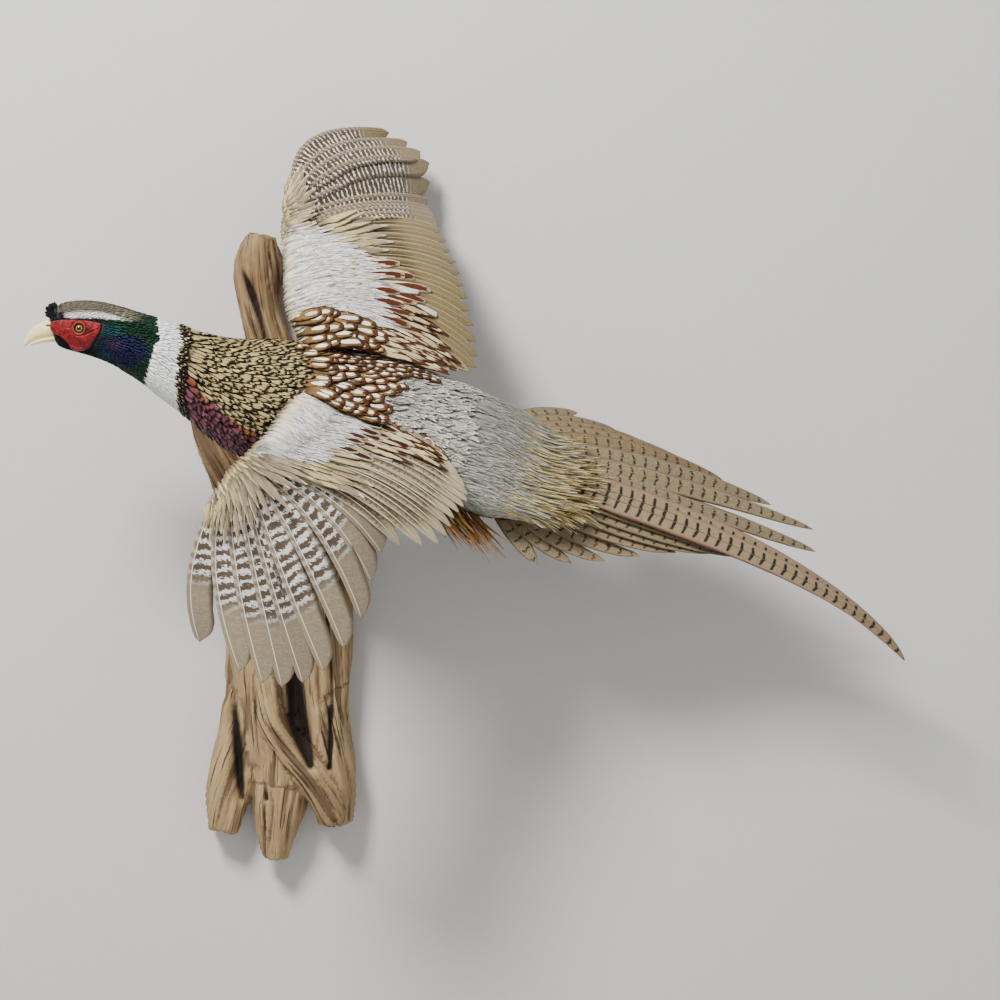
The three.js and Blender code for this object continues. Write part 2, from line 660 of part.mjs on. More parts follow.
function addLeg(side, sign) {
  const hip = bodyPoint(104, 34, sign * 40);
  const knee = bodyPoint(140, 58, sign * 42);
  const heel = bodyPoint(196, 62, sign * 30);
  const foot = bodyPoint(266, 52, sign * 26);
  const thigh = (grow) => toSolid(limb([
    [point(hip), 24, 27],
    [point(knee), 20, 23],
    [point(knee.clone().lerp(heel, 0.6)), 12, 14],
    [point(heel), 6, 7],
  ], 7, 12, grow));
  const shin = foot.clone().sub(heel).normalize();
  const wide = bodyFrame(0.9).right;
  const down = shin.clone().cross(wide).normalize();
  let leg = toSolid(limb([
    [point(heel.clone().addScaledVector(shin, -4)), TARSUS_RADIUS + 1.3, TARSUS_RADIUS + 1.3],
    [point(heel.clone().lerp(foot, 0.3)), TARSUS_RADIUS, TARSUS_RADIUS - 0.6],
    [point(heel.clone().lerp(foot, 0.75)), TARSUS_RADIUS - 0.3, TARSUS_RADIUS - 0.8],
    [point(foot), TARSUS_RADIUS + 1.2, TARSUS_RADIUS + 0.6],
  ], 4, 8));
  const spurRoot = heel.clone().lerp(foot, 0.62);
  const spurTip = spurRoot.clone().addScaledVector(wide, -sign * SPUR_LENGTH).addScaledVector(shin, 4);
  leg = leg.add(toSolid(limb([
    [point(spurRoot), 2.6, 2.6],
    [point(spurRoot.clone().lerp(spurTip, 0.6)), 1.7, 1.7],
    [point(spurTip), 0.5, 0.5],
  ], 3, 6)));
  const toes = [
    ['inner', -0.42, SIDE_TOE, 1],
    ['middle', 0, MIDDLE_TOE, 1],
    ['outer', 0.42, SIDE_TOE + 3, 1],
    ['hind', 0.1, HIND_TOE, -1],
  ];
  const claws = [];
  for (const [name, spread, length, way] of toes) {
    const out = shin.clone().multiplyScalar(way > 0 ? 1 : 0.35)
      .addScaledVector(wide, spread * sign)
      .addScaledVector(down, way < 0 ? -1 : 0.1)
      .normalize();
    const curl = down.clone().multiplyScalar(way > 0 ? 0.34 : 0);
    const start = foot.clone().addScaledVector(out, -1);
    const mid = start.clone().addScaledVector(out, length * 0.55).addScaledVector(curl, length * 0.14);
    const end = start.clone().addScaledVector(out, length * 0.95).addScaledVector(curl, length * 0.62);
    leg = leg.add(toSolid(limb([
      [point(start), TOE_RADIUS + 0.5, TOE_RADIUS + 0.4],
      [point(mid), TOE_RADIUS, TOE_RADIUS],
      [point(end), TOE_RADIUS - 0.7, TOE_RADIUS - 0.7],
    ], 4, 6)));
    const ahead = end.clone().sub(mid).normalize();
    const clawTip = end.clone().addScaledVector(ahead, CLAW_LENGTH).addScaledVector(curl, 8);
    const clawRoot = end.clone().addScaledVector(ahead, GAP);
    claws.push([name, toSolid(limb([
      [point(clawRoot), 1.7, 1.7],
      [point(clawRoot.clone().addScaledVector(ahead, CLAW_LENGTH * 0.5)), 1.3, 1.3],
      [point(clawTip), 0.4, 0.4],
    ], 3, 6))]);
  }
  add(`thigh_${side}`, thigh(0).subtract(bodyGrown), 'rump');
  add(`foot_${side}`, leg.subtract(thigh(GAP)).subtract(bodyGrown), 'scale');
  for (const [name, claw] of claws) add(`claw_${side}_${name}`, claw.subtract(bodyGrown), 'claw');
}

// ---------------------------------------------------------------- driftwood and rods

function rod([from, to], grow = 0) {
  return toSolid(limb([
    [from, ROD_RADIUS, ROD_RADIUS],
    [vec(from).lerp(vec(to), 0.5).toArray(), ROD_RADIUS, ROD_RADIUS],
    [to, ROD_RADIUS, ROD_RADIUS],
  ], 2, 12, grow));
}

function addWood() {
  let wood = null;
  for (const stations of WOOD_LIMBS) {
    const piece = toSolid(limb(stations, stations.length + 2, 10));
    wood = wood ? wood.add(piece) : piece;
  }
  for (const stations of WOOD_GROOVES) {
    wood = wood.subtract(toSolid(limb(stations, 4, 6)));
  }
  const behind = new THREE.BoxGeometry(600, 200, 900).translate(0, 100, 0);
  wood = wood.subtract(toSolid(behind));
  for (const line of ROD_LINES) wood = wood.subtract(rod(line, GAP));
  const [hangerX, hangerZ] = HANGER_CENTRE;
  const recess = HANGER_SIZE.map((v) => v + 6);
  wood = wood.subtract(toSolid(new THREE.BoxGeometry(recess[0], 2 * HANGER_RECESS, recess[1])
    .translate(hangerX, 0, hangerZ)));
  add('driftwood', wood, 'wood');
}

// Toothed steel strip in a recess of the flat back, for a nail in the wall.
function addHanger() {
  const [width, height, thick] = HANGER_SIZE;
  const outline = new THREE.Shape();
  outline.moveTo(-width / 2, height / 2);
  outline.lineTo(-width / 2, -height / 2);
  const toothed = width * 0.6;
  for (let i = 0; i <= HANGER_TEETH * 2; i += 1) {
    const x = -toothed / 2 + (toothed * i) / (HANGER_TEETH * 2);
    outline.lineTo(x, -height / 2 + (i % 2 ? height * 0.2 : 0));
  }
  outline.lineTo(width / 2, -height / 2);
  outline.lineTo(width / 2, height / 2);
  const strip = new THREE.ExtrudeGeometry(outline, { depth: thick, bevelEnabled: false });
  strip.rotateX(Math.PI / 2);
  const [x, z] = HANGER_CENTRE;
  strip.translate(x, -HANGER_RECESS + GAP + thick, z);
  let hanger = toSolid(strip);
  for (const side of [-1, 1]) {
    const screw = new THREE.CylinderGeometry(2.6, 2.6, 0.8, 12);
    screw.translate(x + side * width * 0.42, -HANGER_RECESS + GAP + thick + 0.3, z);
    hanger = hanger.add(toSolid(screw));
  }
  add('hanger_strip', hanger, 'steel');
}

addHead();
const rodCuts = ROD_LINES.map((line) => rod(line, GAP));
add('neck', bodyPiece(CUT_HEAD_NECK, CUT_NECK_TRUNK, 6), 'collar');
const trunk = rodCuts.reduce((s, cut) => s.subtract(cut), bodyPiece(CUT_NECK_TRUNK, CUT_TRUNK_RUMP, 10));
add('trunk', trunk, 'mantle');
add('rump', bodyPiece(CUT_TRUNK_RUMP, 1, 9), 'rump');
addWing('left', LEFT_WING);
addWing('right', RIGHT_WING);
addTail();
addLeg('left', -1);
addLeg('right', 1);
addWood();
addHanger();
ROD_LINES.forEach((line, i) => add(`mount_rod_${i + 1}`, rod(line), 'steel'));

export default model;
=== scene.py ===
"""Taxidermy cock pheasant in flight on a driftwood wall mount: skin, plumage, head, feet and wood."""
import math

import bmesh
import bpy
import numpy as np
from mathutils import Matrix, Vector, noise
from mathutils.bvhtree import BVHTree
from mathutils.kdtree import KDTree


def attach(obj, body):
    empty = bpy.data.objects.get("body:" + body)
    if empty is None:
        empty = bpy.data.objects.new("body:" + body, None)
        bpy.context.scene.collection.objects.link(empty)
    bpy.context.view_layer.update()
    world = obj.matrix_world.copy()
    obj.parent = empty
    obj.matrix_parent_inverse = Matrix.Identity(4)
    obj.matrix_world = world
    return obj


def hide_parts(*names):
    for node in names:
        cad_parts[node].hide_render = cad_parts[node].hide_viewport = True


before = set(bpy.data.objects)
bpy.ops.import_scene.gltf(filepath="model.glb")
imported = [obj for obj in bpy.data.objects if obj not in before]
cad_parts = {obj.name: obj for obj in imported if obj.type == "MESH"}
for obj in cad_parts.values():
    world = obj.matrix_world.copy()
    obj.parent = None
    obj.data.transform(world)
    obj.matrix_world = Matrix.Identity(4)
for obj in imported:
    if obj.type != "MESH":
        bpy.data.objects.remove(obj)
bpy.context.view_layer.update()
MM = 0.001

# ---- guide stations, millimetres
# The same driving stations as the solids: centre, half width, half height.
BODY = [
    [-207, -222, 213.5, 8.5, 9], [-200, -222, 215, 12, 14.5], [-188, -222, 217, 16.5, 22],
    [-171, -222, 217, 18.5, 26], [-150, -221.5, 213.5, 20.5, 28], [-128, -220, 206, 25, 29.5],
    [-107, -216, 197, 30, 33], [-88, -212, 188, 34.5, 37], [-67, -206, 176, 40, 42],
    [-40, -199, 163, 49, 48], [-6, -193, 150, 62, 58], [33, -189, 141, 68, 63],
    [82, -187, 132, 69, 64], [131, -184, 121, 68, 62], [171, -181, 109, 66, 58],
    [210, -177, 97, 65, 51], [245, -174, 84, 64, 40], [272, -172, 73, 55, 29],
    [291, -170, 65, 42, 19], [304, -169, 60, 27, 11],
]
TRUNK_ROLL = math.radians(60)
# Feather number from the outermost primary, then front edge, quill root, bend and tip.
LEFT_WING = [
    [0, -36, -329, 40, -25, -327, 50, -65, -327, -23, -46, -292, -86],
    [1, -30, -329, 47, -19, -326, 54, -41, -328, -16, -8, -290, -114],
    [3, -21, -328, 64, -6, -324, 61, 6, -327, -7, 32, -288, -129],
    [5, -12, -325, 76, 5, -321, 66, 27, -322, -4, 71, -283, -114],
    [7, -4, -321, 84, 16, -317, 72, 74, -314, 34, 107, -277, -64],
    [9, 2, -316, 90, 25, -312, 78, 93, -306, 51, 125, -268, -2],
    [12, 14, -293, 107, 38, -297, 87, 126, -288, 70, 180, -252, 6],
    [15, 24, -272, 124, 52, -280, 97, 139, -272, 90, 195, -240, 30],
    [19, 35, -252, 139, 69, -264, 113, 154, -256, 105, 208, -232, 53],
    [24, 47, -244, 150, 81, -250, 133, 139, -247, 121, 182, -236, 95],
]
RIGHT_WING = [
    [0, 26, -142, 362, 32, -143, 360, 28, -106, 436, 123, -34, 430],
    [1, 26, -145, 356, 34, -146, 354, 47, -112, 423, 142, -28, 421],
    [3, 24, -152, 342, 35, -152, 340, 76, -122, 408, 165, -28, 399],
    [5, 24, -158, 332, 37, -158, 328, 107, -125, 364, 164, -40, 359],
    [7, 23, -162, 323, 39, -162, 319, 112, -133, 356, 169, -56, 345],
    [9, 23, -166, 316, 40, -166, 312, 116, -140, 347, 174, -70, 334],
    [13, 25, -176, 281, 55, -178, 290, 139, -160, 313, 194, -108, 289],
    [17, 26, -182, 248, 72, -186, 262, 156, -172, 275, 209, -135, 238],
    [21, 31, -186, 223, 86, -192, 233, 160, -182, 232, 215, -160, 180],
    [24, 43, -192, 200, 93, -202, 206, 148, -196, 200, 190, -186, 176],
]
# Feather number from the outermost right one, then root, bend and tip.
TAIL = [
    [0, 230, -160, 116, 272, -142, 140, 318, -112, 136],
    [2, 234, -163, 111, 316, -140, 133, 396, -108, 99],
    [4, 238, -166, 105, 360, -150, 118, 466, -112, 66],
    [6, 242, -168, 98, 400, -158, 77, 555, -122, 17],
    [7, 244, -170, 93, 419, -162, 52, 556, -130, -5],
    [8, 245, -171, 87, 560, -166, -1, 645, -142, -114],
    [9, 245, -172, 83, 545, -172, -12, 607, -151, -80],
    [10, 244, -172, 80, 429, -172, 4, 530, -152, -19],
    [11, 242, -172, 77, 389, -174, 5, 490, -158, -10],
    [13, 239, -171, 71, 330, -179, 8, 414, -168, -5],
    [15, 236, -169, 66, 284, -181, 2, 343, -176, -13],
    [17, 231, -167, 61, 246, -180, 18, 276, -181, -15],
]


# ---- numbers
def unit(v):
    v = np.asarray(v, float)
    return v / np.maximum(np.linalg.norm(v, axis=-1, keepdims=True), 1e-9)


def smooth(x, low=0.0, high=1.0):
    t = np.clip((np.asarray(x, float) - low) / (high - low), 0, 1)
    return t * t * (3 - 2 * t)


def between(rows, place):
    """Smooth values at the given places of a table whose first column is the place."""
    rows = np.asarray(rows, float)
    keys, values = rows[:, 0], rows[:, 1:]
    place = np.clip(np.atleast_1d(np.asarray(place, float)), keys[0], keys[-1])
    i = np.clip(np.searchsorted(keys, place, side="right") - 1, 0, len(keys) - 2)
    before, after = np.maximum(i - 1, 0), np.minimum(i + 2, len(keys) - 1)
    span = (keys[i + 1] - keys[i])[:, None]
    t = (place[:, None] - keys[i][:, None]) / span
    a, b = values[i], values[i + 1]
    slope_a = (b - values[before]) * span / (keys[i + 1] - keys[before])[:, None]
    slope_b = (values[after] - a) * span / (keys[after] - keys[i])[:, None]
    return ((2 * t**3 - 3 * t**2 + 1) * a + (t**3 - 2 * t**2 + t) * slope_a
            + (-2 * t**3 + 3 * t**2) * b + (t**3 - t**2) * slope_b)


def running(points):
    """Length run along a line, at each of its points."""
    return np.concatenate([[0], np.cumsum(np.linalg.norm(np.diff(points, axis=0), axis=1))])


def numbered(rows):
    """A table with its row number put in front as the place."""
    return [[i, *row] for i, row in enumerate(rows)]


# ---- meshes
def linked(name, data):
    """A new object in the scene for a mesh, a light or a camera."""
    obj = bpy.data.objects.new(name, data)
    bpy.context.scene.collection.objects.link(obj)
    return obj


def settle(obj, material, slot, *nodes):
    """Gives a piece its material, its one body and the nodes that it stands for; the slot is not used."""
    obj.data.materials.append(material)
    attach(obj, "root")
    if nodes:
        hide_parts(*nodes)
    return obj


def put_attribute(obj, name, values):
    """Stores a colour or a vector for every point of a mesh."""
    values = np.asarray(values, np.float32)
    if values.shape[1] == 4:
        layer = obj.data.attributes.new(name, "FLOAT_COLOR", "POINT")
        layer.data.foreach_set("color", values.ravel())
    else:
        layer = obj.data.attributes.new(name, "FLOAT_VECTOR", "POINT")
        layer.data.foreach_set("vector", values.ravel())


def grid_faces(rows, cols, wrap=False):
    """Quads of a grid of rows by cols points; wrap closes it across the columns."""
    across = cols if wrap else cols - 1
    r, c = np.meshgrid(np.arange(rows - 1), np.arange(across), indexing="ij")
    a = r * cols + c
    b = r * cols + (c + 1) % cols
    return np.stack([a, b, b + cols, a + cols], axis=-1).reshape(-1, 4)


def tube_object(name, rings):
    """Closed tube through rings of points, with its ends drawn in to a point each."""
    rings = np.asarray(rings, float)
    first, last = rings[:1].mean(axis=1, keepdims=True), rings[-1:].mean(axis=1, keepdims=True)
    caps = [first + (rings[:1] - first) * s for s in (0.02, 0.5)]
    ends = [last + (rings[-1:] - last) * s for s in (0.5, 0.02)]
    rings = np.concatenate([*caps, rings, *ends])
    count, around = rings.shape[:2]
    faces = grid_faces(count, around, wrap=True)
    cap_a = np.array([[0, i, i + 1, i + 1] for i in range(1, around - 1)])[:, [0, 2, 1]]
    base = (count - 1) * around
    cap_b = np.array([[base, base + i, base + i + 1] for i in range(1, around - 1)])
    mesh = bpy.data.meshes.new(name)
    polygons = [tuple(f) for f in faces] + [tuple(f) for f in cap_a] + [tuple(f) for f in cap_b]
    mesh.from_pydata(rings.reshape(-1, 3).tolist(), [], polygons)
    return outward(linked(name, mesh))


def outward(obj):
    shape = bmesh.new()
    shape.from_mesh(obj.data)
    bmesh.ops.remove_doubles(shape, verts=shape.verts, dist=1e-7)
    bmesh.ops.recalc_face_normals(shape, faces=shape.faces)
    shape.to_mesh(obj.data)
    shape.free()
    obj.data.shade_smooth()
    return obj


def joined(name, objects):
    """One object with the meshes of several, which are removed."""
    shape = bmesh.new()
    for obj in objects:
        shape.from_mesh(obj.data)
        bpy.data.objects.remove(obj)
    mesh = bpy.data.meshes.new(name)
    shape.to_mesh(mesh)
    shape.free()
    return linked(name, mesh)


def plain_mesh(obj):
    """What an object's modifiers make of it; they are removed."""
    made = bpy.data.meshes.new_from_object(obj.evaluated_get(bpy.context.evaluated_depsgraph_get()))
    obj.modifiers.clear()
    return made


def remeshed(obj, voxel, rounds=2):
    """Melts overlapping closed shapes into one even, smoothed shell."""
    melt = obj.modifiers.new("melt", "REMESH")
    melt.mode = "VOXEL"
    melt.voxel_size = voxel
    soften = obj.modifiers.new("soften", "SMOOTH")
    soften.factor = 0.5
    soften.iterations = rounds
    obj.data = plain_mesh(obj)
    obj.data.shade_smooth()
    return obj


def points_of(obj):
    out = np.empty(len(obj.data.vertices) * 3)
    obj.data.vertices.foreach_get("co", out)
    return out.reshape(-1, 3)


def normals_of(obj):
    out = np.empty(len(obj.data.vertices) * 3, np.float32)
    obj.data.vertex_normals.foreach_get("vector", out)
    return out.reshape(-1, 3).astype(float)


# ---- the body's own surface
BODY_LAST = len(BODY) - 1
BODY_ROWS = numbered(BODY)


def station_at(x):
    """Body station at the given x."""
    return np.interp(x, [row[0] for row in BODY], np.arange(len(BODY)))


def oval_rings(centre, side, top, wide, high, around):
    """Oval rings in metres round centres in millimetres."""
    angle = np.linspace(0, 2 * np.pi, around, endpoint=False)
    return (centre[:, None] + side[:, None] * (wide[:, None] * np.cos(angle))[..., None]
            + top[:, None] * (high[:, None] * np.sin(angle))[..., None]) * MM


def body_frame(place):
    """Centre, forward line, right and back directions and half sizes at body stations."""
    row = between(BODY_ROWS, place)
    step = 0.05
    ahead, behind = between(BODY_ROWS, place + step), between(BODY_ROWS, place - step)
    tangent = unit(ahead[:, :3] - behind[:, :3])
    roll = TRUNK_ROLL * smooth((np.atleast_1d(place) / BODY_LAST - 0.18) / 0.36)
    right = np.stack([np.zeros_like(roll), np.cos(roll), np.sin(roll)], axis=1)
    right = unit(right - (right * tangent).sum(1, keepdims=True) * tangent)
    back = unit(np.cross(tangent, right))
    facing = np.stack([np.zeros_like(roll), -np.sin(roll), np.cos(roll)], axis=1)
    back *= np.sign((back * facing).sum(1, keepdims=True))
    return row[:, :3], tangent, right, back, row[:, 3], row[:, 4]


# Depth of the plumage over the skin, by body station.
COAT_DEPTH = [[0, 0.9], [3, 1.1], [5, 1.6], [7, 2.6], [9, 4.0], [12, 5.0], [16, 4.5], [19, 3.0]]


def body_rings(count, around, inset):
    place = np.linspace(1.35, BODY_LAST, count)
    centre, _, right, back, half_w, half_h = body_frame(place)
    depth = between(COAT_DEPTH, place)[:, 0] * inset
    return oval_rings(centre, right, back, half_w - depth, half_h - depth, around)


def body_point(x, belly, across):
    """A point below the spine at the given x, moved belly-ward and to the bird's right."""
    centre, _, right, back, _, _ = body_frame(station_at(x))
    return centre[0] - back[0] * belly + right[0] * across


def limb_rings(stations, steps, around, up=(0, 0, 1)):
    """Rings along a bent limb: stations hold a centre, a half width and a half height."""
    rows = numbered(stations)
    place = np.linspace(0, len(stations) - 1, steps)
    row = between(rows, place)
    tangent = unit(between(rows, place + 0.05)[:, :3] - between(rows, place - 0.05)[:, :3])
    side = unit(np.cross(tangent, np.asarray(up, float)))
    top = unit(np.cross(side, tangent))
    return oval_rings(row[:, :3], side, top, row[:, 3], row[:, 4], around)


WING_FEATHERS = 25
# Feather numbers where the wing meets the back, and how far past that its coverts may reach.
WING_END, PAST_WING_END = 24.4, 26.2


def wing_place(number, rows):
    """Place of a feather among the guide stations: the primaries keep their own numbers."""
    number = np.asarray(number, float)
    inner = 9 + (number - 9) / (WING_FEATHERS - 10) * (rows[-1][0] - 9)
    return np.where(number <= 9, number, inner)


def arm_thickness(place, rows):
    """Half thickness of the arm, from the thin hand to the shoulder."""
    return 4.2 + 8.8 * smooth(place / rows[-1][0] * 1.1)


def arm_stations(rows, count, reach=10):
    """Front edge, trailing edge and upper-side direction along the arm, shoulder to hand."""
    f = np.linspace(rows[-1][0], 0, count)
    row = between(rows, f)
    front, root, bend, _ = np.hsplit(row, 4)
    along = unit(between(rows, f - 1.5)[:, :3] - between(rows, f + 1.5)[:, :3])
    trailing = root + unit(bend - root) * reach
    normal = unit(np.cross(trailing - front, along))
    normal *= -np.sign(normal[:, 1:2])
    return f, front, trailing, normal


def arm_rings(rows, count, around, inset):
    f, front, trailing, normal = arm_stations(rows, count)
    thick = arm_thickness(f, rows) - inset
    chord = trailing - front
    half = np.linalg.norm(chord, axis=1) / 2 - inset
    return oval_rings(front + chord / 2, unit(chord), normal, half, thick, around)


def leg_stations(sign):
    hip, knee = body_point(104, 34, sign * 40), body_point(140, 58, sign * 42)
    heel, foot = body_point(196, 62, sign * 30), body_point(266, 52, sign * 26)
    return hip, knee, heel, foot


# ---- skin
SKIN_VOXEL = 0.0026


def make_skin():
    shells = [tube_object("body", body_rings(72, 40, 1.0))]
    for rows in (LEFT_WING, RIGHT_WING):
        shells.append(tube_object("arm", arm_rings(rows, 26, 20, 1.8)))
    for sign in (-1, 1):
        hip, knee, heel, _ = leg_stations(sign)
        thigh = [[*hip, 21, 24], [*knee, 17, 20], [*(knee * 0.4 + heel * 0.6), 9, 11], [*heel, 4.6, 5]]
        shells.append(tube_object("thigh", limb_rings(thigh, 12, 16)))
    return remeshed(joined("skin", shells), SKIN_VOXEL, 6)


skin = make_skin()
SKIN_POINTS = points_of(skin)
skin_tree = BVHTree.FromObject(skin, bpy.context.evaluated_depsgraph_get())


def on_skin(points):
    """Nearest skin places and outward directions, in metres."""
    near = np.empty((len(points), 3))
    outward_way = np.empty((len(points), 3))
    for i, p in enumerate(points):
        place, normal, _, _ = skin_tree.find_nearest(Vector(p))
        near[i], outward_way[i] = place, normal
    return near, outward_way


# ---- node helpers
def linear(code):
    """Linear colour of a six-digit colour code."""
    parts = np.array([int(code[i:i + 2], 16) / 255 for i in (0, 2, 4)])
    return np.where(parts <= 0.04045, parts / 12.92, ((parts + 0.055) / 1.055) ** 2.4)


def rgba(code):
    return (*linear(code), 1.0)


class Flow:
    """An output of a node that plain sums can be written with."""

    def __init__(self, web, socket):
        self.web, self.socket = web, socket

    def __add__(self, other):
        return self.web.math("ADD", self, other)

    def __sub__(self, other):
        return self.web.math("SUBTRACT", self, other)

    def __rsub__(self, other):
        return self.web.math("SUBTRACT", other, self)

    def __mul__(self, other):
        return self.web.math("MULTIPLY", self, other)

    def __truediv__(self, other):
        return self.web.math("DIVIDE", self, other)

    def __abs__(self):
        return self.web.math("ABSOLUTE", self)


class Web:
    """Short way of adding nodes to a tree: every call gives back the socket to go on with."""

    def __init__(self, tree):
        self.tree = tree

    def put(self, kind, **settings):
        node = self.tree.nodes.new(kind)
        for key, value in settings.items():
            setattr(node, key, value)
        return node

    def add(self, kind, settings, **inputs):
        """A node with its inputs fed; an input's name has _ for a space."""
        node = self.put(kind, **settings)
        for label, value in inputs.items():
            self.feed(node.inputs[label.replace("_", " ")], value)
        return node

    def feed(self, socket, value):
        """Links or sets an input; a six-digit colour code is a value too."""
        if isinstance(value, str):
            value = rgba(value)
        if isinstance(value, Flow):
            value = value.socket
        if isinstance(value, bpy.types.NodeSocket):
            self.tree.links.new(value, socket)
        elif value is not None:
            socket.default_value = value

    def math(self, operation, a, b=None):
        node = self.put("ShaderNodeMath", operation=operation)
        for socket, value in zip(node.inputs, (a, b)):
            self.feed(socket, value)
        return Flow(self, node.outputs[0])

    def ramp(self, value, low, high):
        """0 below low and 1 above high; low may be the larger one."""
        node = self.add("ShaderNodeMapRange", {"interpolation_type": "SMOOTHSTEP"},
                        Value=value, From_Min=low, From_Max=high)
        return Flow(self, node.outputs["Result"])

    def mix(self, share, a, b, blend="MIX"):
        node = self.put("ShaderNodeMix", data_type="RGBA", blend_type=blend)
        for place, value in ((0, share), (6, a), (7, b)):
            self.feed(node.inputs[place], value)
        return Flow(self, node.outputs[2])

    def shaded(self, colour, light):
        """A colour made darker or lighter by a plain number."""
        return self.mix(1.0, colour, self.vector(light, light, light), "MULTIPLY")

    def vector(self, x, y, z):
        node = self.put("ShaderNodeCombineXYZ")
        for socket, value in zip(node.inputs, (x, y, z)):
            self.feed(socket, value)
        return Flow(self, node.outputs[0])

    def split(self, vector):
        node = self.put("ShaderNodeSeparateXYZ")
        self.feed(node.inputs[0], vector)
        return [Flow(self, socket) for socket in node.outputs]

    def noise(self, vector, scale=1.0, detail=2.0, rough=0.5):
        node = self.add("ShaderNodeTexNoise", {}, Vector=vector, Scale=scale, Detail=detail, Roughness=rough)
        return Flow(self, node.outputs["Fac"])

    def grain(self, scale, detail, rough):
        """Noise over the piece itself."""
        return self.noise(self.place(), scale, detail, rough)

    def cells(self, scale, feature="F1"):
        """Distance within a pattern of small cells on the piece."""
        node = self.add("ShaderNodeTexVoronoi", {"feature": feature}, Vector=self.place(), Scale=scale)
        return Flow(self, node.outputs["Distance"])

    def attribute(self, name):
        """The colour, vector and alpha of a point's attribute."""
        node = self.put("ShaderNodeAttribute", attribute_name=name)
        return [Flow(self, node.outputs[label]) for label in ("Color", "Vector", "Alpha")]

    def uv(self, name):
        return self.put("ShaderNodeUVMap", uv_map=name).outputs[0]

    def place(self):
        return self.put("ShaderNodeTexCoord").outputs["Object"]

    def finished(self, colour, rough=None, height=None, distance=0.0, strength=1.0, metal=None):
        """Feeds the shader's colour, roughness, bump and metal, and gives back the material."""
        for label, value in (("Base Color", colour), ("Roughness", rough), ("Metallic", metal)):
            self.feed(self.shader.inputs[label], value)
        if height is not None:
            bump = self.add("ShaderNodeBump", {}, Height=height, Distance=distance, Strength=strength)
            self.feed(self.shader.inputs["Normal"], bump.outputs[0])
        return self.material


def effect_group(name, inputs, outputs, build):
    """A node group with named inputs (with start values) and outputs."""
    tree = bpy.data.node_groups.new(name, "ShaderNodeTree")
    for label, value in inputs.items():
        value = rgba(value) if isinstance(value, str) else value
        kind = "NodeSocketFloat" if isinstance(value, (int, float)) else (
            "NodeSocketColor" if len(value) == 4 else "NodeSocketVector")
        tree.interface.new_socket(label, in_out="INPUT", socket_type=kind).default_value = value
    for label, kind in outputs.items():
        tree.interface.new_socket(label, in_out="OUTPUT", socket_type=kind)
    web = Web(tree)
    start, end = web.put("NodeGroupInput"), web.put("NodeGroupOutput")
    given = {socket.name: Flow(web, socket) for socket in start.outputs}
    for label, socket in build(web, given).items():
        web.feed(end.inputs[label], socket)
    return tree


def use_group(web, group, **values):
    node = web.put("ShaderNodeGroup", node_tree=group)
    for label, value in values.items():
        web.feed(node.inputs[label.replace("_", " ")], value)
    return node.outputs


def new_material(name, **fixed):
    """A material with a Principled shader; fixed numbers go on the shader's own sockets."""
    material = bpy.data.materials.new(name)
    material.use_nodes = True
    web = Web(material.node_tree)
    web.material, web.shader = material, material.node_tree.nodes["Principled BSDF"]
    for label, value in fixed.items():
        web.shader.inputs[label.replace("_", " ")].default_value = value
    return web


COLOUR, VALUE = "NodeSocketColor", "NodeSocketFloat"


def build_vane_marks(web, given):
    """Colours of one small feather: a root darkened partly as down and partly by painted shade, centre spot with a
    dark ring, edge and barbs.
    """
    u, v, _ = web.split(web.uv("Vane"))
    side = abs(u * 2.0 - 1.0)
    main, _, barb_share = web.attribute("Main")
    centre, _, centre_size = web.attribute("Centre")
    edge, _, edge_size = web.attribute("Edge")
    _, trait, _ = web.attribute("Trait")
    gloss, shaft, chance = web.split(trait)
    # Barbs leave the shaft forwards and outwards.
    barb = v - side * 0.22
    shift = chance * 37.0
    fine = web.noise(web.vector(barb * 34.0, u * 2.2, shift), 1.0, 2.0, 0.6)
    broad = web.noise(web.vector(barb * 9.0, u * 5.0, shift), 1.0, 1.0, 0.5)
    rim = web.math("MINIMUM", 1.0 - side, (1.0 - v) * 2.3)
    rim = rim + (broad - 0.5) * 0.8
    at_edge = web.ramp(rim - edge_size, 0.07, -0.07)
    reach = (v - 0.69) / (centre_size * 0.66)
    drop = centre_size * (v * 1.35 + 0.02)
    wide = side / web.math("MAXIMUM", drop, 0.01)
    oval = web.math("SQRT", reach * reach + wide * wide)
    oval = oval + (broad - 0.5) * 0.5
    has_centre = web.math("GREATER_THAN", centre_size, 0.02)
    in_centre = web.ramp(oval, 1.08, 0.9) * has_centre
    in_ring = web.ramp(oval, 1.26, 1.14) * has_centre
    colour = web.mix(in_ring * 0.8, main, edge)
    colour = web.mix(in_centre, colour, centre)
    colour = web.mix(at_edge, colour, edge)
    at_shaft = web.ramp(side, 0.11, 0.03) * shaft
    colour = web.mix(at_shaft * 0.75, colour, edge)
    streak = (fine - 0.5) * (barb_share * 2.0) + 1.0
    colour = web.shaded(colour, streak)
    # The root end is darkened: partly the downy base, partly painted shade where the next feather laps over it.
    colour = web.shaded(colour, web.ramp(v, 0.4, 0.08) * (given["Root down and painted shade"] - 1.0) + 1.0)
    height = fine * 0.6 + web.ramp(side, 0.12, 0.0)
    rough = gloss * -0.3 + 0.74
    return {"Colour": colour, "Height": height, "Roughness": rough, "Metallic": gloss * 0.45}


vane_marks = effect_group("vane_marks", {"Root down and painted shade": 0.42},
                          {"Colour": COLOUR, "Height": VALUE, "Roughness": VALUE, "Metallic": VALUE},
                          build_vane_marks)


def plumage_material():
    web = new_material("plumage", Specular_IOR_Level=0.25)
    out = use_group(web, vane_marks)
    return web.finished(out["Colour"], out["Roughness"], out["Height"], 0.0002, 0.55, out["Metallic"])


plumage = plumage_material()


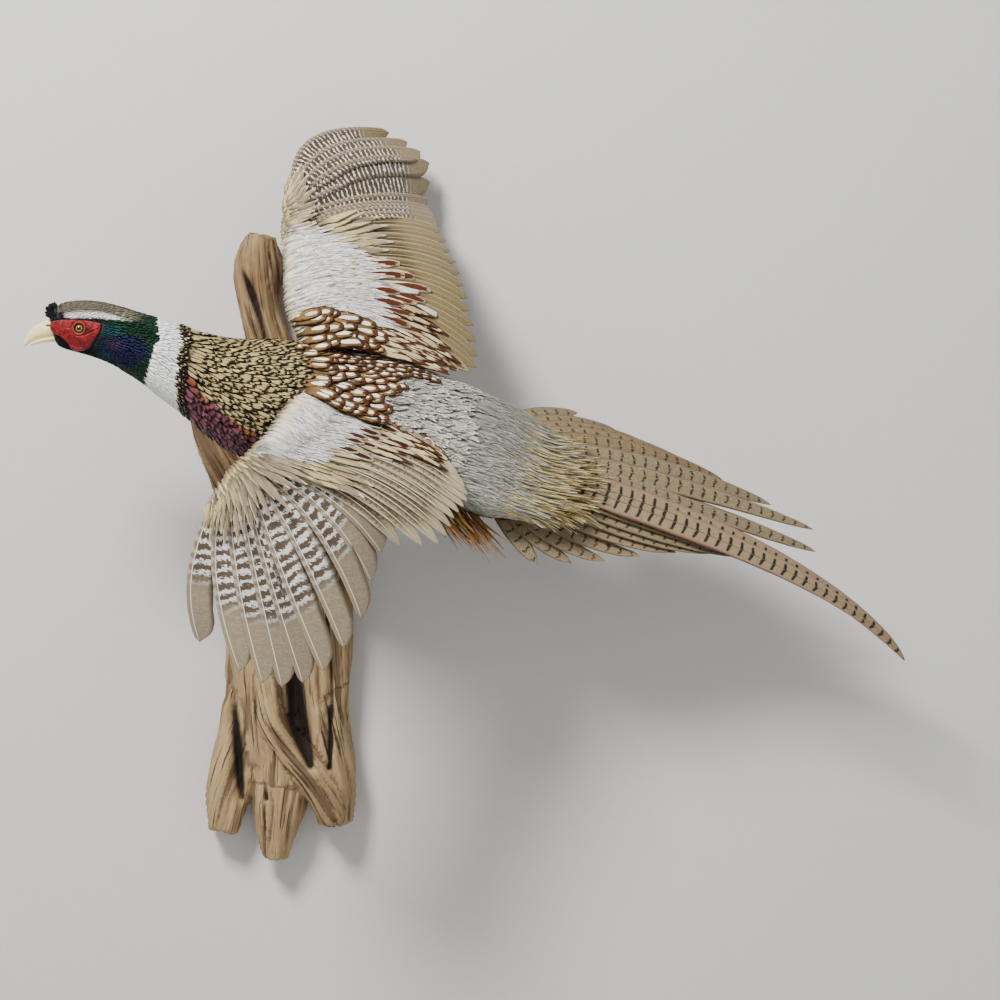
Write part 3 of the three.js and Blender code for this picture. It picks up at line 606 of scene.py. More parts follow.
# ---- feathers as thin solids
def vane_solid(line, normal, half_width, outline, thickness, camber, lean, ragged, seed=1):
    """Points of closed vanes: rings over the top and back under, and a point at both ends."""
    dice = np.random.default_rng(seed)
    count, stations = line.shape[:2]
    across = outline.shape[1]
    tangent = unit(np.gradient(line, axis=1))
    side = unit(np.cross(tangent, normal))
    normal = unit(np.cross(side, tangent))
    x = outline[None] * half_width[:, None, None]
    rough_edge = 1 + ragged * (dice.random((count, stations, across)) - 0.65)
    x = x * np.where(np.abs(outline[None]) > 0.3, rough_edge, 1)
    share = np.linspace(-1, 1, across)[None, None]
    lift = -camber * np.abs(x) * np.abs(share) + lean[:, None, None] * x
    ridge = np.where(np.abs(share) < 0.01, thickness[:, None, None] * 0.35, 0)
    top = (line[:, :, None] + side[:, :, None] * x[..., None]
           + normal[:, :, None] * (lift + ridge)[..., None])
    under = (line[:, :, None] + side[:, :, None] * x[..., None]
             + normal[:, :, None] * (lift - thickness[:, None, None])[..., None])[:, :, -2:0:-1]
    rings = np.concatenate([top, under], axis=2)
    ends = np.stack([line[:, 0] - tangent[:, 0] * half_width[:, None] * 0.05,
                     line[:, -1] + tangent[:, -1] * half_width[:, None] * 0.18], axis=1)
    return rings, ends


def vane_topology(stations, around):
    """Quads between rings and triangles round both end points, for one vane."""
    quads = grid_faces(stations, around, wrap=True)
    j = np.arange(around)
    after = (j + 1) % around
    root, tip = stations * around, stations * around + 1
    last = (stations - 1) * around
    root_fan = np.stack([after, j, np.full(around, root)], axis=1)
    tip_fan = np.stack([last + j, last + after, np.full(around, tip)], axis=1)
    return quads, np.concatenate([root_fan, tip_fan])


def mesh_of(name, points, quads, triangles=np.empty((0, 3), int)):
    """One smooth mesh of many quads and triangles, quads first."""
    mesh = bpy.data.meshes.new(name)
    mesh.vertices.add(len(points))
    mesh.vertices.foreach_set("co", np.asarray(points, np.float32).ravel())
    corner_index = np.concatenate([quads.ravel(), triangles.ravel()]).astype(np.int32)
    totals = np.concatenate([np.full(len(quads), 4), np.full(len(triangles), 3)]).astype(np.int32)
    mesh.loops.add(len(corner_index))
    mesh.loops.foreach_set("vertex_index", corner_index)
    mesh.polygons.add(len(totals))
    mesh.polygons.foreach_set("loop_start", np.concatenate([[0], np.cumsum(totals)[:-1]]).astype(np.int32))
    mesh.polygons.foreach_set("loop_total", totals)
    mesh.update(calc_edges=True)
    mesh.shade_smooth()
    return linked(name, mesh)


def feather_piece(name, parts, material, slot, *nodes, seed=1):
    """One piece of many feathers; every part holds feathers with the same number of stations."""
    points, quads, triangles, vane_q, vane_t, bake_q, bake_t = [], [], [], [], [], [], []
    colours = {"Main": [], "Centre": [], "Edge": [], "Trait": []}
    start = 0
    for part in parts:
        line = part["line"]
        count, stations = line.shape[:2]
        if count == 0:
            continue
        outline = part["outline"]
        across = outline.shape[1]
        around = 2 * across - 2
        rings, ends = vane_solid(line, part["normal"], part["half"], outline, np.full(count, part["thick"]),
                                 part.get("camber", 0.15), part["lean"], part.get("ragged", 0.1), seed)
        seed += 1
        block = np.concatenate([rings.reshape(count, -1, 3), ends], axis=1)
        size = block.shape[1]
        one_q, one_t = vane_topology(stations, around)
        offset = start + np.arange(count)[:, None, None] * size
        quads.append((one_q[None] + offset).reshape(-1, 4))
        triangles.append((one_t[None] + offset).reshape(-1, 3))
        points.append(block.reshape(-1, 3))
        start += count * size
        # The vane's own coordinates: u across, v along, the same above and below.
        ring_u = np.concatenate([np.linspace(0, 1, across), np.linspace(0, 1, across)[-2:0:-1]])
        v = part.get("v", np.linspace(0, 0.97, stations))
        point_uv = np.concatenate([
            np.stack(np.broadcast_arrays(ring_u[None], v[:, None]), axis=-1).reshape(-1, 2),
            [[0.5, 0.0], [0.5, 1.0]]])
        vane_q.append(np.tile(point_uv[one_q][None], (count, 1, 1, 1)).reshape(-1, 2))
        vane_t.append(np.tile(point_uv[one_t][None], (count, 1, 1, 1)).reshape(-1, 2))
        # The patch on the skin's unwrap: the ring unrolled, so nothing lies on itself.
        steps = np.arange(around)
        k, j = np.repeat(np.arange(stations - 1), around), np.tile(steps, stations - 1)
        rows_v = (np.arange(stations) + 1) / (stations + 1)
        first, last = np.full(around, rows_v[0]), np.full(around, rows_v[-1])

        def unrolled(column, *corners):
            return np.stack([np.stack([(column + a) / around, row], -1) for a, row in corners], axis=1)

        unrolled_q = unrolled(j, (0, rows_v[k]), (1, rows_v[k]), (1, rows_v[k + 1]), (0, rows_v[k + 1]))
        unrolled_t = np.concatenate([unrolled(steps, (1, first), (0, first), (0.5, np.zeros(around))),
                                     unrolled(steps, (0, last), (1, last), (0.5, np.ones(around)))])
        corner, extent = part["patch"]
        bake_q.append((corner[:, None, None] + unrolled_q[None] * extent[:, None, None]).reshape(-1, 2))
        bake_t.append((corner[:, None, None] + unrolled_t[None] * extent[:, None, None]).reshape(-1, 2))
        for label in colours:
            colours[label].append(np.repeat(part[label], size, axis=0))
    obj = mesh_of(name, np.concatenate(points), np.concatenate(quads), np.concatenate(triangles))
    for label, uv in (("Vane", vane_q + vane_t), ("OFBake", bake_q + bake_t)):
        layer = obj.data.uv_layers.new(name=label)
        layer.data.foreach_set("uv", np.concatenate(uv).astype(np.float32).ravel())
    for label, values in colours.items():
        put_attribute(obj, label, np.concatenate(values))
    settle(obj, material, slot, *nodes)


def outline_of(shares, widths, across=3):
    """Half width of the vane at evenly spaced stations, for every point across."""
    widths = np.asarray(widths, float)
    place = np.linspace(0, 1, shares)
    half = np.interp(place, np.linspace(0, 1, len(widths)), widths)
    return half[:, None] * np.linspace(-1, 1, across)[None]


ROUND = outline_of(6, [0.25, 0.7, 0.95, 1.0, 0.86, 0.5], 5)
LONG_OVAL = outline_of(6, [0.3, 0.8, 1.0, 0.97, 0.8, 0.42], 5)
SCALE = outline_of(4, [0.3, 0.9, 1.0, 0.55], 3)
LANCE = outline_of(6, [0.3, 0.8, 1.0, 0.85, 0.5, 0.16], 5)
DROP = outline_of(6, [0.3, 0.62, 0.88, 1.0, 0.92, 0.55], 5)
HAIR = outline_of(4, [0.5, 1.0, 0.7, 0.15], 3)


# ---- where on the body
SPINE_PLACE = np.linspace(0, BODY_LAST, 700)
SPINE = body_frame(SPINE_PLACE)
SPINE_MM = running(SPINE[0])


def body_coordinates(points_mm):
    """Along (x of the spine point), degrees from the middle of the back, right positive."""
    tree = KDTree(len(SPINE_PLACE))
    for i, p in enumerate(SPINE[0]):
        tree.insert(Vector(p), i)
    tree.balance()
    i = np.array([tree.find(Vector(p))[1] for p in points_mm])
    off = points_mm - SPINE[0][i]
    across = (off * SPINE[2][i]).sum(1)
    up = (off * SPINE[3][i]).sum(1)
    turn = np.degrees(np.arctan2(across / SPINE[4][i], up / SPINE[5][i]))
    ratio = np.hypot(across / SPINE[4][i], up / SPINE[5][i])
    return SPINE[0][i][:, 0], turn, ratio, SPINE_PLACE[i]


def on_body(place, turn):
    """Points on the body at stations and degrees from the middle of the back, with its axis there."""
    centre, tangent, right, back, half_w, half_h = body_frame(place)
    angle = np.radians(turn)
    point = centre + right * (half_w * np.sin(angle))[:, None] + back * (half_h * np.cos(angle))[:, None]
    return point, centre, tangent


def body_rows_at(gap_along, gap_across, first, last, seed):
    """Staggered places on the body: spine x between first and last, in even rows."""
    dice = np.random.default_rng(seed)
    spine_x = SPINE[0][:, 0]
    low, high = np.interp([first, last], spine_x, SPINE_MM)
    rows = np.arange(low, high, gap_along)
    place_list, turn_list = [], []
    for r, s in enumerate(rows):
        i = min(np.searchsorted(SPINE_MM, s), len(SPINE_MM) - 1)
        half_w, half_h = SPINE[4][i], SPINE[5][i]
        girth = np.pi * (3 * (half_w + half_h) - np.sqrt((3 * half_w + half_h) * (half_w + 3 * half_h)))
        number = max(int(girth / gap_across), 6)
        turn = (np.arange(number) + 0.5 * (r % 2) + dice.uniform(-0.22, 0.22, number)) / number * 360 - 180
        place_list.append(np.clip(SPINE_PLACE[i] + dice.uniform(-0.3, 0.3, number) * gap_along
                                  / max(np.gradient(SPINE_MM)[i], 1e-6) * (SPINE_PLACE[1]), 0, BODY_LAST))
        turn_list.append(turn)
    place, turn = np.concatenate(place_list), np.concatenate(turn_list)
    turn = (turn + 180) % 360 - 180
    point, centre, tangent = on_body(place, turn)
    return point, turn, centre[:, 0], tangent, place


def lie_on_skin(roots, way, length, stations, rise, sink=0.4):
    """Lines that start at the roots and follow the skin, rising from it towards their tips."""
    count = len(roots)
    line = np.empty((count, stations, 3))
    up = np.empty((count, stations, 3))
    here, normal = on_skin(roots * MM)
    step = length * MM / (stations - 1)
    way = unit(way - (way * normal).sum(1, keepdims=True) * normal)
    for k in range(stations):
        share = k / (stations - 1)
        height = (-sink + (rise + sink) * share ** 0.85) * MM
        line[:, k] = here + normal * np.reshape(height, (-1, 1))
        up[:, k] = normal
        if k < stations - 1:
            ahead, turned = on_skin(here + way * step[:, None])
            moved = unit(ahead - here)
            here, normal = ahead, unit(turned * 0.6 + normal * 0.4)
            way = unit(moved - (moved * normal).sum(1, keepdims=True) * normal)
    return line, up


def colour_rows(code, count, alpha, wobble, seed):
    """The same colour for many feathers with a small change of brightness from one to the next."""
    dice = np.random.default_rng(seed)
    base = linear(code) if isinstance(code, str) else np.asarray(code)
    shade = 1 + wobble * dice.standard_normal((count, 1))
    out = np.clip(np.broadcast_to(base, (count, 3)) * np.clip(shade, 0.4, 1.8), 0, 1)
    return np.concatenate([out, np.broadcast_to(np.reshape(alpha, (-1, 1)), (count, 1))], axis=1)


def traits(count, gloss, shaft, seed):
    chance = np.random.default_rng(seed).random(count)
    return np.stack(np.broadcast_arrays(gloss, shaft, chance), axis=1)


def colouring(count, colours, seed, gloss, shaft, centre_share=1.0):
    """Colours and traits of feathers, from the colour columns of a row and the brightness change of the edge."""
    main, centre, edge, centre_size, edge_size, wobble, barbs, *edge_wobble = colours
    return dict(Main=colour_rows(main, count, barbs, wobble, seed + 1),
                Centre=colour_rows(centre, count, centre_size * centre_share, wobble * 0.5, seed + 2),
                Edge=colour_rows(edge, count, edge_size, *(edge_wobble or [wobble]), seed + 3),
                Trait=traits(count, gloss, shaft, seed + 4))


# ---- plumage of the body
def zone_of(x, turn, point):
    """Which part of the plumage a place on the body belongs to."""
    a = np.abs(turn)
    zone = np.full(len(x), "belly", dtype=object)
    zone[(a < 66)] = "mantle"
    zone[(a >= 66) & (x < 70)] = "breast"
    zone[(a < 92) & (x > 6 + 26 * np.exp(-(turn / 30) ** 2)) & (x < 120)] = "scapular"
    zone[(a >= 74) & (a < 132) & (x >= 70)] = "flank"
    zone[(a < 100) & (x > 98 + 9 * np.sin(turn / 6) + 6 * np.exp(-(turn / 24) ** 2))] = "back"
    zone[(a < 112) & (x > 190)] = "rump"
    zone[(a < 112) & (x > 252)] = "straw"
    zone[(a >= 112) & (x > 222)] = "vent"
    # The borders of the neck's white ring are upright, so they follow the real place and not the spine's.
    px, pz = point[:, 0], point[:, 2]
    zone[px < np.interp(pz, [150, 166, 185, 206, 222], [-71, -69, -68, -63, -72])] = "band"
    zone[px < np.interp(pz, [150, 166, 185, 206, 222], [-80, -78, -77, -72, -81])] = "collar"
    zone[px < np.interp(pz, [164, 178, 190, 208, 228], [-112, -106, -102, -96, -99])] = "neck"
    zone[px < -137] = "face"
    return zone


# Zone: row gap, gap across, length, half width, outline, rise, thickness, lean, shaft, gloss,
# main, centre, edge colours, centre size, edge size, brightness change, barb contrast.
ZONES = {
    "neck": (2.4, 2.5, 7.5, 1.8, SCALE, 1.3, 0.2, 0.06, 0, 0.8, "1d2a3c", "1d2a3c", "101018", 0, 0.14, 0.15, 0.3),
    "face": (1.7, 1.8, 4.6, 1.1, SCALE, 1.0, 0.2, 0.06, 0, 0.4, "17191f", "17191f", "0c0c0f", 0, 0.14, 0.15, 0.3),
    "collar": (2.6, 2.6, 11, 2.3, HAIR, 1.5, 0.2, 0.04, 0, 0.02, "ffffff", "f4f2ec", "ffffff", 0, 0.2, 0.02, 0.06),
    "band": (3.0, 3.2, 9, 2.4, SCALE, 2.4, 0.25, 0.08, 0, 0.2, "b3a06c", "6a3a1c", "100d0b", 0, 0.66, 0.2, 0.3),
    "mantle": (7.2, 3.7, 19, 2.5, LONG_OVAL, 3.0, 0.3, 0.08, 0.5, 0.04,
               "b09d69", "d8c793", "0c0907", 0, 0.4, 0.15, 0.45),
    "breast": (5.2, 5.2, 15, 3.9, ROUND, 3.6, 0.3, 0.10, 0.3, 0.4, "724250", "a2512a", "1a0f14", 0, 0.28, 0.2, 0.5),
    "scapular": (9.8, 7.6, 33, 6.7, DROP, 4.6, 0.12, 0.015, 0.0, 0.02,
                 "755a32", "f4efe2", "4a270f", 0.32, 0.28, 0.2, 0.6),
    "flank": (6.0, 5.6, 26, 4.0, LANCE, 4.6, 0.3, 0.12, 0.6, 0.2, "a96f35", "c98a44", "2a1a14", 0, 0.2, 0.2, 0.5),
    "back": (4.6, 3.9, 17, 2.5, LANCE, 3.6, 0.2, 0.25, 0.7, 0.03, "979285", "c9c2a0", "d8d5ca", 0, 0.34, 0.34, 1.0),
    "rump": (3.7, 2.7, 28, 1.9, HAIR, 2.6, 0.18, 0.2, 0, 0.04, "aaa99f", "a9b096", "d8d7ce", 0, 0.34, 0.2, 0.7),
    "straw": (4.2, 3.0, 38, 1.7, HAIR, 2.8, 0.18, 0.2, 0, 0.04, "bda76d", "cdb67a", "dccb98", 0, 0.32, 0.2, 0.6),
    "belly": (6.2, 5.6, 24, 3.8, LANCE, 4.4, 0.3, 0.12, 0.2, 0.08, "33271f", "3f3025", "14100e", 0, 0.12, 0.2, 0.5),
    "vent": (5.0, 4.6, 26, 3.2, LANCE, 4.2, 0.3, 0.12, 0.2, 0.06, "6a4429", "6e452c", "2a1a12", 0, 0.14, 0.2, 0.5),
}


def unwrap_place(x, turn):
    """Place on the skin's unwrap: along the body and round it, cut along the belly."""
    return np.stack([0.02 + (x + 210) / 530 * 0.93, 0.31 + (turn + 180) / 360 * 0.67], axis=1)


# Edge of the bare red skin in the side view: x and z, millimetres.
RED_SKIN_EDGE = np.array([
    (-196.4, 221.2), (-186, 222.2), (-170.5, 222.0), (-158, 221.0), (-144.5, 218.4), (-146.6, 210.3),
    (-151.4, 203.8), (-157.5, 195.5), (-163.5, 192.6), (-172, 191.6), (-176.5, 194.6), (-181.0, 201.0),
    (-187.5, 206.4), (-193.5, 208.6), (-197.3, 214.0),
])


def inside(outline, points):
    """Which of the points lie inside a closed outline."""
    result = np.zeros(len(points), bool)
    for (ax, az), (bx, bz) in zip(outline, np.roll(outline, -1, axis=0)):
        crosses = (points[:, 1] > az) != (points[:, 1] > bz)
        reach = (bx - ax) * (points[:, 1] - az) / (bz - az if bz != az else 1e-9) + ax
        result ^= crosses & (points[:, 0] < reach)
    return result


def blend_colours(base, code, share):
    return base + (linear(code) - base) * np.reshape(np.clip(share, 0, 1), (-1, 1))


def head_colours(points, turn):
    """Colours of the small feathers of the head and neck, from their places."""
    x, z = points[:, 0], points[:, 2]
    colour = np.broadcast_to(linear("0d1413"), (len(x), 3)).copy()
    # Green gloss over the nape and down the back of the neck, blue on the cheek and throat.
    colour = blend_colours(colour, "09301c", smooth(x, -156, -128))
    blue = 1 - np.hypot((x + 129) / 31, (z - 194) / 19)
    colour = blend_colours(colour, "0a1136", smooth(blue, 0.0, 0.45))
    teal = 1 - np.hypot((x + 140) / 17, (z - 213) / 9)
    colour = blend_colours(colour, "0a3c3e", 0.7 * smooth(teal, 0, 0.6))
    teal = 1 - np.hypot((x + 147) / 12, (z - 187) / 7)
    colour = blend_colours(colour, "0a3d47", 0.8 * smooth(teal, 0, 0.6))
    violet = 1 - np.hypot((x + 137) / 11, (z - 199) / 8)
    colour = blend_colours(colour, "2e1a3c", 0.7 * smooth(violet, 0, 0.6))
    colour = blend_colours(colour, "0b0d0d", smooth(-x, 148, 166) * smooth(212 - z, 0, 6))
    # Grey-olive crown with a white stripe under it, black in front and beside the red skin.
    crown_low = np.interp(x, [-196, -184, -170, -150, -130, -112], [231, 228.5, 230.5, 230, 226.5, 222])
    stripe_low = crown_low - np.interp(x, [-190, -182, -160, -140, -118], [2.0, 5.6, 6.4, 5.2, 1.5])
    on_top = smooth(z - crown_low, -0.8, 0.8) * smooth(x, -192, -187) * smooth(-x, 108, 122)
    colour = blend_colours(colour, "716a58", on_top)
    colour = blend_colours(colour, "3b352c", on_top * smooth(np.abs(turn), 28, 8) * 0.5)
    on_stripe = smooth(z - stripe_low, -0.9, 0.9) * (1 - smooth(z - crown_low, -1.4, 1.6))
    on_stripe = on_stripe * smooth(x, -187, -181) * smooth(-x, 116, 142)
    colour = blend_colours(colour, "f0efec", on_stripe * 0.97)
    pale = np.maximum(on_top, on_stripe)
    return colour, pale


def patches(corner, size=0.003):
    return corner, np.full((len(corner), 2), size)


def kept(mask, *arrays):
    return [values[mask] for values in arrays]


def over_skin(points):
    """Distance from the skin, in metres, of points in millimetres."""
    return np.linalg.norm(on_skin(points * MM)[0] - points * MM, axis=1)


COAT_START_X, COAT_END_X = -197, 303
# A place farther than this from the skin lies inside the root of a wing or a thigh.
OPEN_BODY_GAP = 0.0075


def zone_feathers(zone, seed):
    (gap_a, gap_c, length, half, outline, rise, thick, lean, shaft, gloss, main, centre, edge, *sizes) = ZONES[zone]
    spots = body_rows_at(gap_a, gap_c, COAT_START_X, COAT_END_X, seed)
    spots = kept(zone_of(spots[2], spots[1], spots[0]) == zone, *spots)
    root, turn, x, way, place = kept(over_skin(spots[0]) < OPEN_BODY_GAP, *spots)
    on_head = zone in ("face", "neck")
    if on_head:
        bare = inside(RED_SKIN_EDGE, root[:, [0, 2]]) & (np.abs(turn) > 50) & (np.abs(turn) < 165)
        root, turn, x, way, place = kept(~bare, root, turn, x, way, place)
    count = len(root)
    dice = np.random.default_rng(seed + 50)
    loose = zone in ("back", "rump", "straw")
    way = unit(way + dice.normal(0, 0.15 if loose else 0.07, (count, 3)))
    size = 1 + dice.normal(0, 0.2 if loose else 0.09, count)
    # Feathers shorten towards the bill.
    size *= 0.8 + 0.2 * smooth(place, 2, 8)
    stations = len(outline)
    if on_head:
        main, pale = head_colours(root, turn)
        edge = main * 0.55 + linear("070708") * 0.45
        edge = edge * (1 - pale[:, None]) + main * 0.85 * pale[:, None]
        gloss = gloss * (1 - pale)
        # Black tufts stand up over the bill's root.
        size = np.where((x < -190) & (np.abs(turn) < 75), size * 1.3, size)
    if zone in ("rump", "straw"):
        # Grey turns to straw gradually, a feather here and there at first.
        yellow = smooth(x + dice.normal(0, 16, count), 228, 282)
        main = blend_colours(np.broadcast_to(linear("9a998e"), (count, 3)).copy(), "bda76d", yellow)
        edge = blend_colours(np.broadcast_to(linear("bfbeb3"), (count, 3)).copy(), "dccb98", yellow)
    if zone == "breast":
        main = np.broadcast_to(linear(main), (count, 3))
        main = blend_colours(main, "8a4c20", smooth(82 - np.abs(turn), 0, 14) * (dice.random(count) < 0.5) * 0.8)
    line, up = lie_on_skin(root, way, length * size, stations, rise)
    if zone == "face":
        # Black tufts stand up and forwards over the bill's root.
        shares = np.linspace(0, 1, stations)[None, :, None]
        stand = unit(np.array([-0.62, 0, 0.62]) + dice.normal(0, 0.25, (count, 3)))
        straight = line[:, :1] + stand[:, None] * (5.6 * size * MM)[:, None, None] * shares
        tuft = smooth(-root[:, 0], 190, 192.5) * smooth(root[:, 2], 221, 225) * (np.abs(turn) < 70)
        line = line + (straight - line) * tuft[:, None, None]
    if zone in ("rump", "straw"):
        # The last hair-like feathers leave the rump and lie out over the roots of the tail.
        spread = unit(np.array([0.955, 0.01, -0.24]) + way * 0.5)
        shares = np.linspace(0, 1, stations)[None, :, None]
        straight = line[:, :1] + spread[:, None] * (length * size * MM)[:, None, None] * shares \
            + up[:, :1] * rise * 0.6 * MM * shares
        line = line + (straight - line) * smooth(x, 236, 270)[:, None, None] * shares
    if zone == "back":
        # Loose, curled barbs: the feathers sway from side to side.
        sway = dice.normal(0, 3.0, count)[:, None] * np.sin(np.linspace(0, 2.6, stations))[None]
        line = line + np.cross(way, up[:, 0])[:, None] * (sway * MM)[..., None]
    # Broad scapular feathers all lean the same way, so that each laps over its neighbour.
    tilt = 0.07 if zone == "scapular" else 0.0
    return dict(
        line=line, normal=up, half=half * size * MM, outline=outline,
        thick=thick * MM, lean=tilt + dice.normal(0, lean, count), ragged=0.14,
        **colouring(count, (main, centre, edge, *sizes), seed, gloss, shaft),
        patch=patches(unwrap_place(x, turn)))


def thigh_feathers(sign, seed):
    """Feathers down the thigh to the heel, all the way round."""
    dice = np.random.default_rng(seed)
    hip, knee, heel, _ = leg_stations(sign)
    first, second = np.linalg.norm(knee - hip), np.linalg.norm(heel - knee)
    roots, ways, spots = [], [], []
    for run in np.arange(-6, first + second - 3, 5.5):
        share = run / (first + second)
        axis, way = (hip, unit(knee - hip)) if run < first else (knee, unit(heel - knee))
        middle = axis + way * (run if run < first else run - first)
        radius = np.interp(share, [0, 0.45, 0.8, 1], [26, 20, 11, 6])
        number = max(int(2 * np.pi * radius / 5.2), 6)
        angle = (np.arange(number) + 0.5 * (round(run / 5.5) % 2)
                 + dice.uniform(-0.2, 0.2, number)) / number * 2 * np.pi
        across = unit(np.cross(way, (0.0, 0.0, 1.0)))
        over = np.cross(across, way)
        ring = middle + radius * (np.cos(angle)[:, None] * across + np.sin(angle)[:, None] * over)
        roots.append(ring)
        ways.append(np.tile(way, (number, 1)))
        spots.append(np.stack([np.full(number, np.clip(share, 0, 1)), angle / (2 * np.pi)], axis=1))
    root, way, spot = np.concatenate(roots), np.concatenate(ways), np.concatenate(spots)
    root, way, spot = kept(over_skin(root) < 0.009, root, way, spot)
    count = len(root)
    size = 1 + dice.normal(0, 0.1, count)
    line, up = lie_on_skin(root, unit(way + dice.normal(0, 0.08, (count, 3))), 20 * size, 6, 2.6)
    shade = smooth(spot[:, 0], 0.55, 1)[:, None]
    main = linear("5c4630") * (1 - shade) + linear("a08a63") * shade
    corner = np.array([0.02 if sign < 0 else 0.52, 0.02]) + spot * (0.45, 0.095)
    return dict(line=line, normal=up, half=3.4 * size * MM, outline=LANCE, thick=0.25 * MM,
                lean=dice.normal(0, 0.1, count), ragged=0.25, patch=patches(corner),
                **colouring(count, (main, "a08a63", main * 0.4, 0, 0.16, 0.16, 0.5, 0.1), seed, 0.08, 0.2))


def flank_tufts(sign, seed):
    """Long loose orange and dark brown feathers that hang at the flank, beside the root of the tail."""
    dice = np.random.default_rng(seed)
    count = 90 if sign < 0 else 30
    place = station_at(dice.uniform(172, 226, count))
    turn = sign * dice.uniform(92, 150, count)
    root, centre, _ = on_body(place, turn)
    outwards = unit(root - centre)
    way = unit(np.array([0.62, 0, -0.6 if sign < 0 else -0.25]) + outwards * (0.25 if sign < 0 else 0.0)
               + dice.normal(0, 0.13, (count, 3)))
    shares = np.linspace(0, 1, 6)[None, :, None]
    length = dice.uniform(34, 58, count)
    line = root[:, None] + way[:, None] * length[:, None, None] * shares
    line[..., 0] += 9 * shares[..., 0] ** 2
    line -= outwards[:, None] * 6 * (1 - shares)
    codes = np.array([linear(c) for c in ("a8682a", "bf9a5c", "5d4128", "bd8540", "a08a5c")])
    main = codes[dice.integers(0, 5, count)]
    half = dice.uniform(2.2, 3.8, count) * MM
    return dict(line=line * MM, normal=np.repeat(outwards[:, None], 6, axis=1), half=half, outline=LANCE,
                thick=0.2 * MM, lean=dice.normal(0, 0.2, count), ragged=0.4,
                patch=patches(unwrap_place(centre[:, 0], turn)),
                **colouring(count, (main, "b58a4c", main * 0.6, 0, 0.2, 0.15, 0.7, 0.1), seed, 0.05, 0.3))


COAT_PIECES = {
    "coat_head": (("face", "neck"), "plumage"),
    "coat_collar": (("collar", "band"), "collar"),
    "coat_mantle": (("mantle", "scapular"), "mantle"),
    "coat_breast": (("breast", "flank", "belly"), "mantle"),
    "coat_back": (("back",), "rump"),
    "coat_rump": (("rump", "straw", "vent"), "rump"),
}
zone_parts = {}
for index, zone in enumerate(ZONES):
    zone_parts[zone] = zone_feathers(zone, 100 + 20 * index)
zone_parts["flank"] = [zone_parts["flank"], flank_tufts(-1, 71), flank_tufts(1, 72)]
for piece, (zones, slot) in COAT_PIECES.items():
    parts = [part for z in zones for part in (zone_parts[z] if z == "flank" else [zone_parts[z]])]
    feather_piece(piece, parts, plumage, slot)
for side_name, sign in (("left", -1), ("right", 1)):
    feather_piece(f"coat_thigh_{side_name}", [thigh_feathers(sign, 60 + sign)], plumage, "mantle")


# ---- wings
def wing_surface(rows, number, distance, upper=1.0):
    """Point and upward direction on the wing, the given distance behind its front edge."""
    over = np.maximum(number - WING_END, 0)
    number = number - over
    f = wing_place(number, rows)
    row = between(rows, f)
    front, root, bend, tip = np.hsplit(row, 4)
    ahead = between(rows, wing_place(number + 0.6, rows))
    after = between(rows, wing_place(number - 0.6, rows))
    chord = root - front
    reach = np.linalg.norm(chord, axis=1)
    along = unit(ahead[:, 3:6] - after[:, 3:6])
    quill_t, _ = quill_share(root, bend, tip, np.maximum(distance - reach, 0))
    on_quill = quill_point(root, bend, tip, quill_t)
    on_arm = front + unit(chord) * np.minimum(distance, reach)[:, None]
    place = np.where((distance < reach)[:, None], on_arm, on_quill)
    step = 0.02
    course = np.where((distance < reach)[:, None], unit(chord),
                      unit(quill_point(root, bend, tip, quill_t + step)
                           - quill_point(root, bend, tip, quill_t - step)))
    normal = unit(np.cross(course, along))
    normal *= -np.sign(normal[:, 1:2])
    thick = arm_thickness(f, rows)
    share = np.clip(distance / (reach + 10), 0, 1)
    hump = thick * np.maximum(np.sqrt(np.clip(1 - (2 * share - 1) ** 2, 0, 1)),
                              0.9 * smooth(1 - distance / (reach + 62)) * smooth(distance, 0, 14))
    return place + normal * (upper * hump)[:, None] + along * (9.0 * over)[:, None], normal * upper, course


def quill_point(root, bend, tip, t):
    t = np.reshape(t, (-1, 1))
    return (1 - t) ** 2 * root + 2 * t * (1 - t) * bend + t ** 2 * tip


QUILL_SAMPLES = np.linspace(0, 1, 41)


def quill_share(root, bend, tip, distance):
    """Curve share at the given length along each quill, and the quill's whole length."""
    t = QUILL_SAMPLES[None, :, None]
    line = (1 - t) ** 2 * root[:, None] + 2 * t * (1 - t) * bend[:, None] + t ** 2 * tip[:, None]
    steps = np.linalg.norm(np.diff(line, axis=1), axis=2)
    run = np.concatenate([np.zeros((len(root), 1)), np.cumsum(steps, axis=1)], axis=1)
    share = np.array([np.interp(d, r, QUILL_SAMPLES) for d, r in zip(np.atleast_1d(distance), run)])
    return share, run[:, -1]


# ---- markings of the skin
def arm_chart(points, table):
    """Share along the arm, angle round it and how far out of it, for points in millimetres."""
    f, front, trailing, normal = arm_stations(table, 120)
    thick = arm_thickness(f, table)
    middle, chord = (front + trailing) / 2, trailing - front
    half = np.linalg.norm(chord, axis=1) / 2
    near = np.linalg.norm(points[:, None] - middle[None], axis=2).argmin(axis=1)
    off = points - middle[near]
    across = (off * unit(chord)[near]).sum(1) / half[near]
    above = (off * normal[near]).sum(1) / thick[near]
    return near / 119, np.arctan2(above, across), np.hypot(above, across)


def thigh_chart(points, sign):
    hip, knee, heel, _ = leg_stations(sign)
    t = np.linspace(0, 1, 80)[:, None]
    axis = np.concatenate([hip + (knee - hip) * t, knee + (heel - knee) * t])
    radius = np.concatenate([np.linspace(22, 18, 80), np.linspace(18, 4.6, 80)])
    near = np.linalg.norm(points[:, None] - axis[None], axis=2).argmin(axis=1)
    off = points - axis[near]
    return near / 159, np.arctan2(off[:, 2], off[:, 1]), np.linalg.norm(off, axis=1) / radius[near]


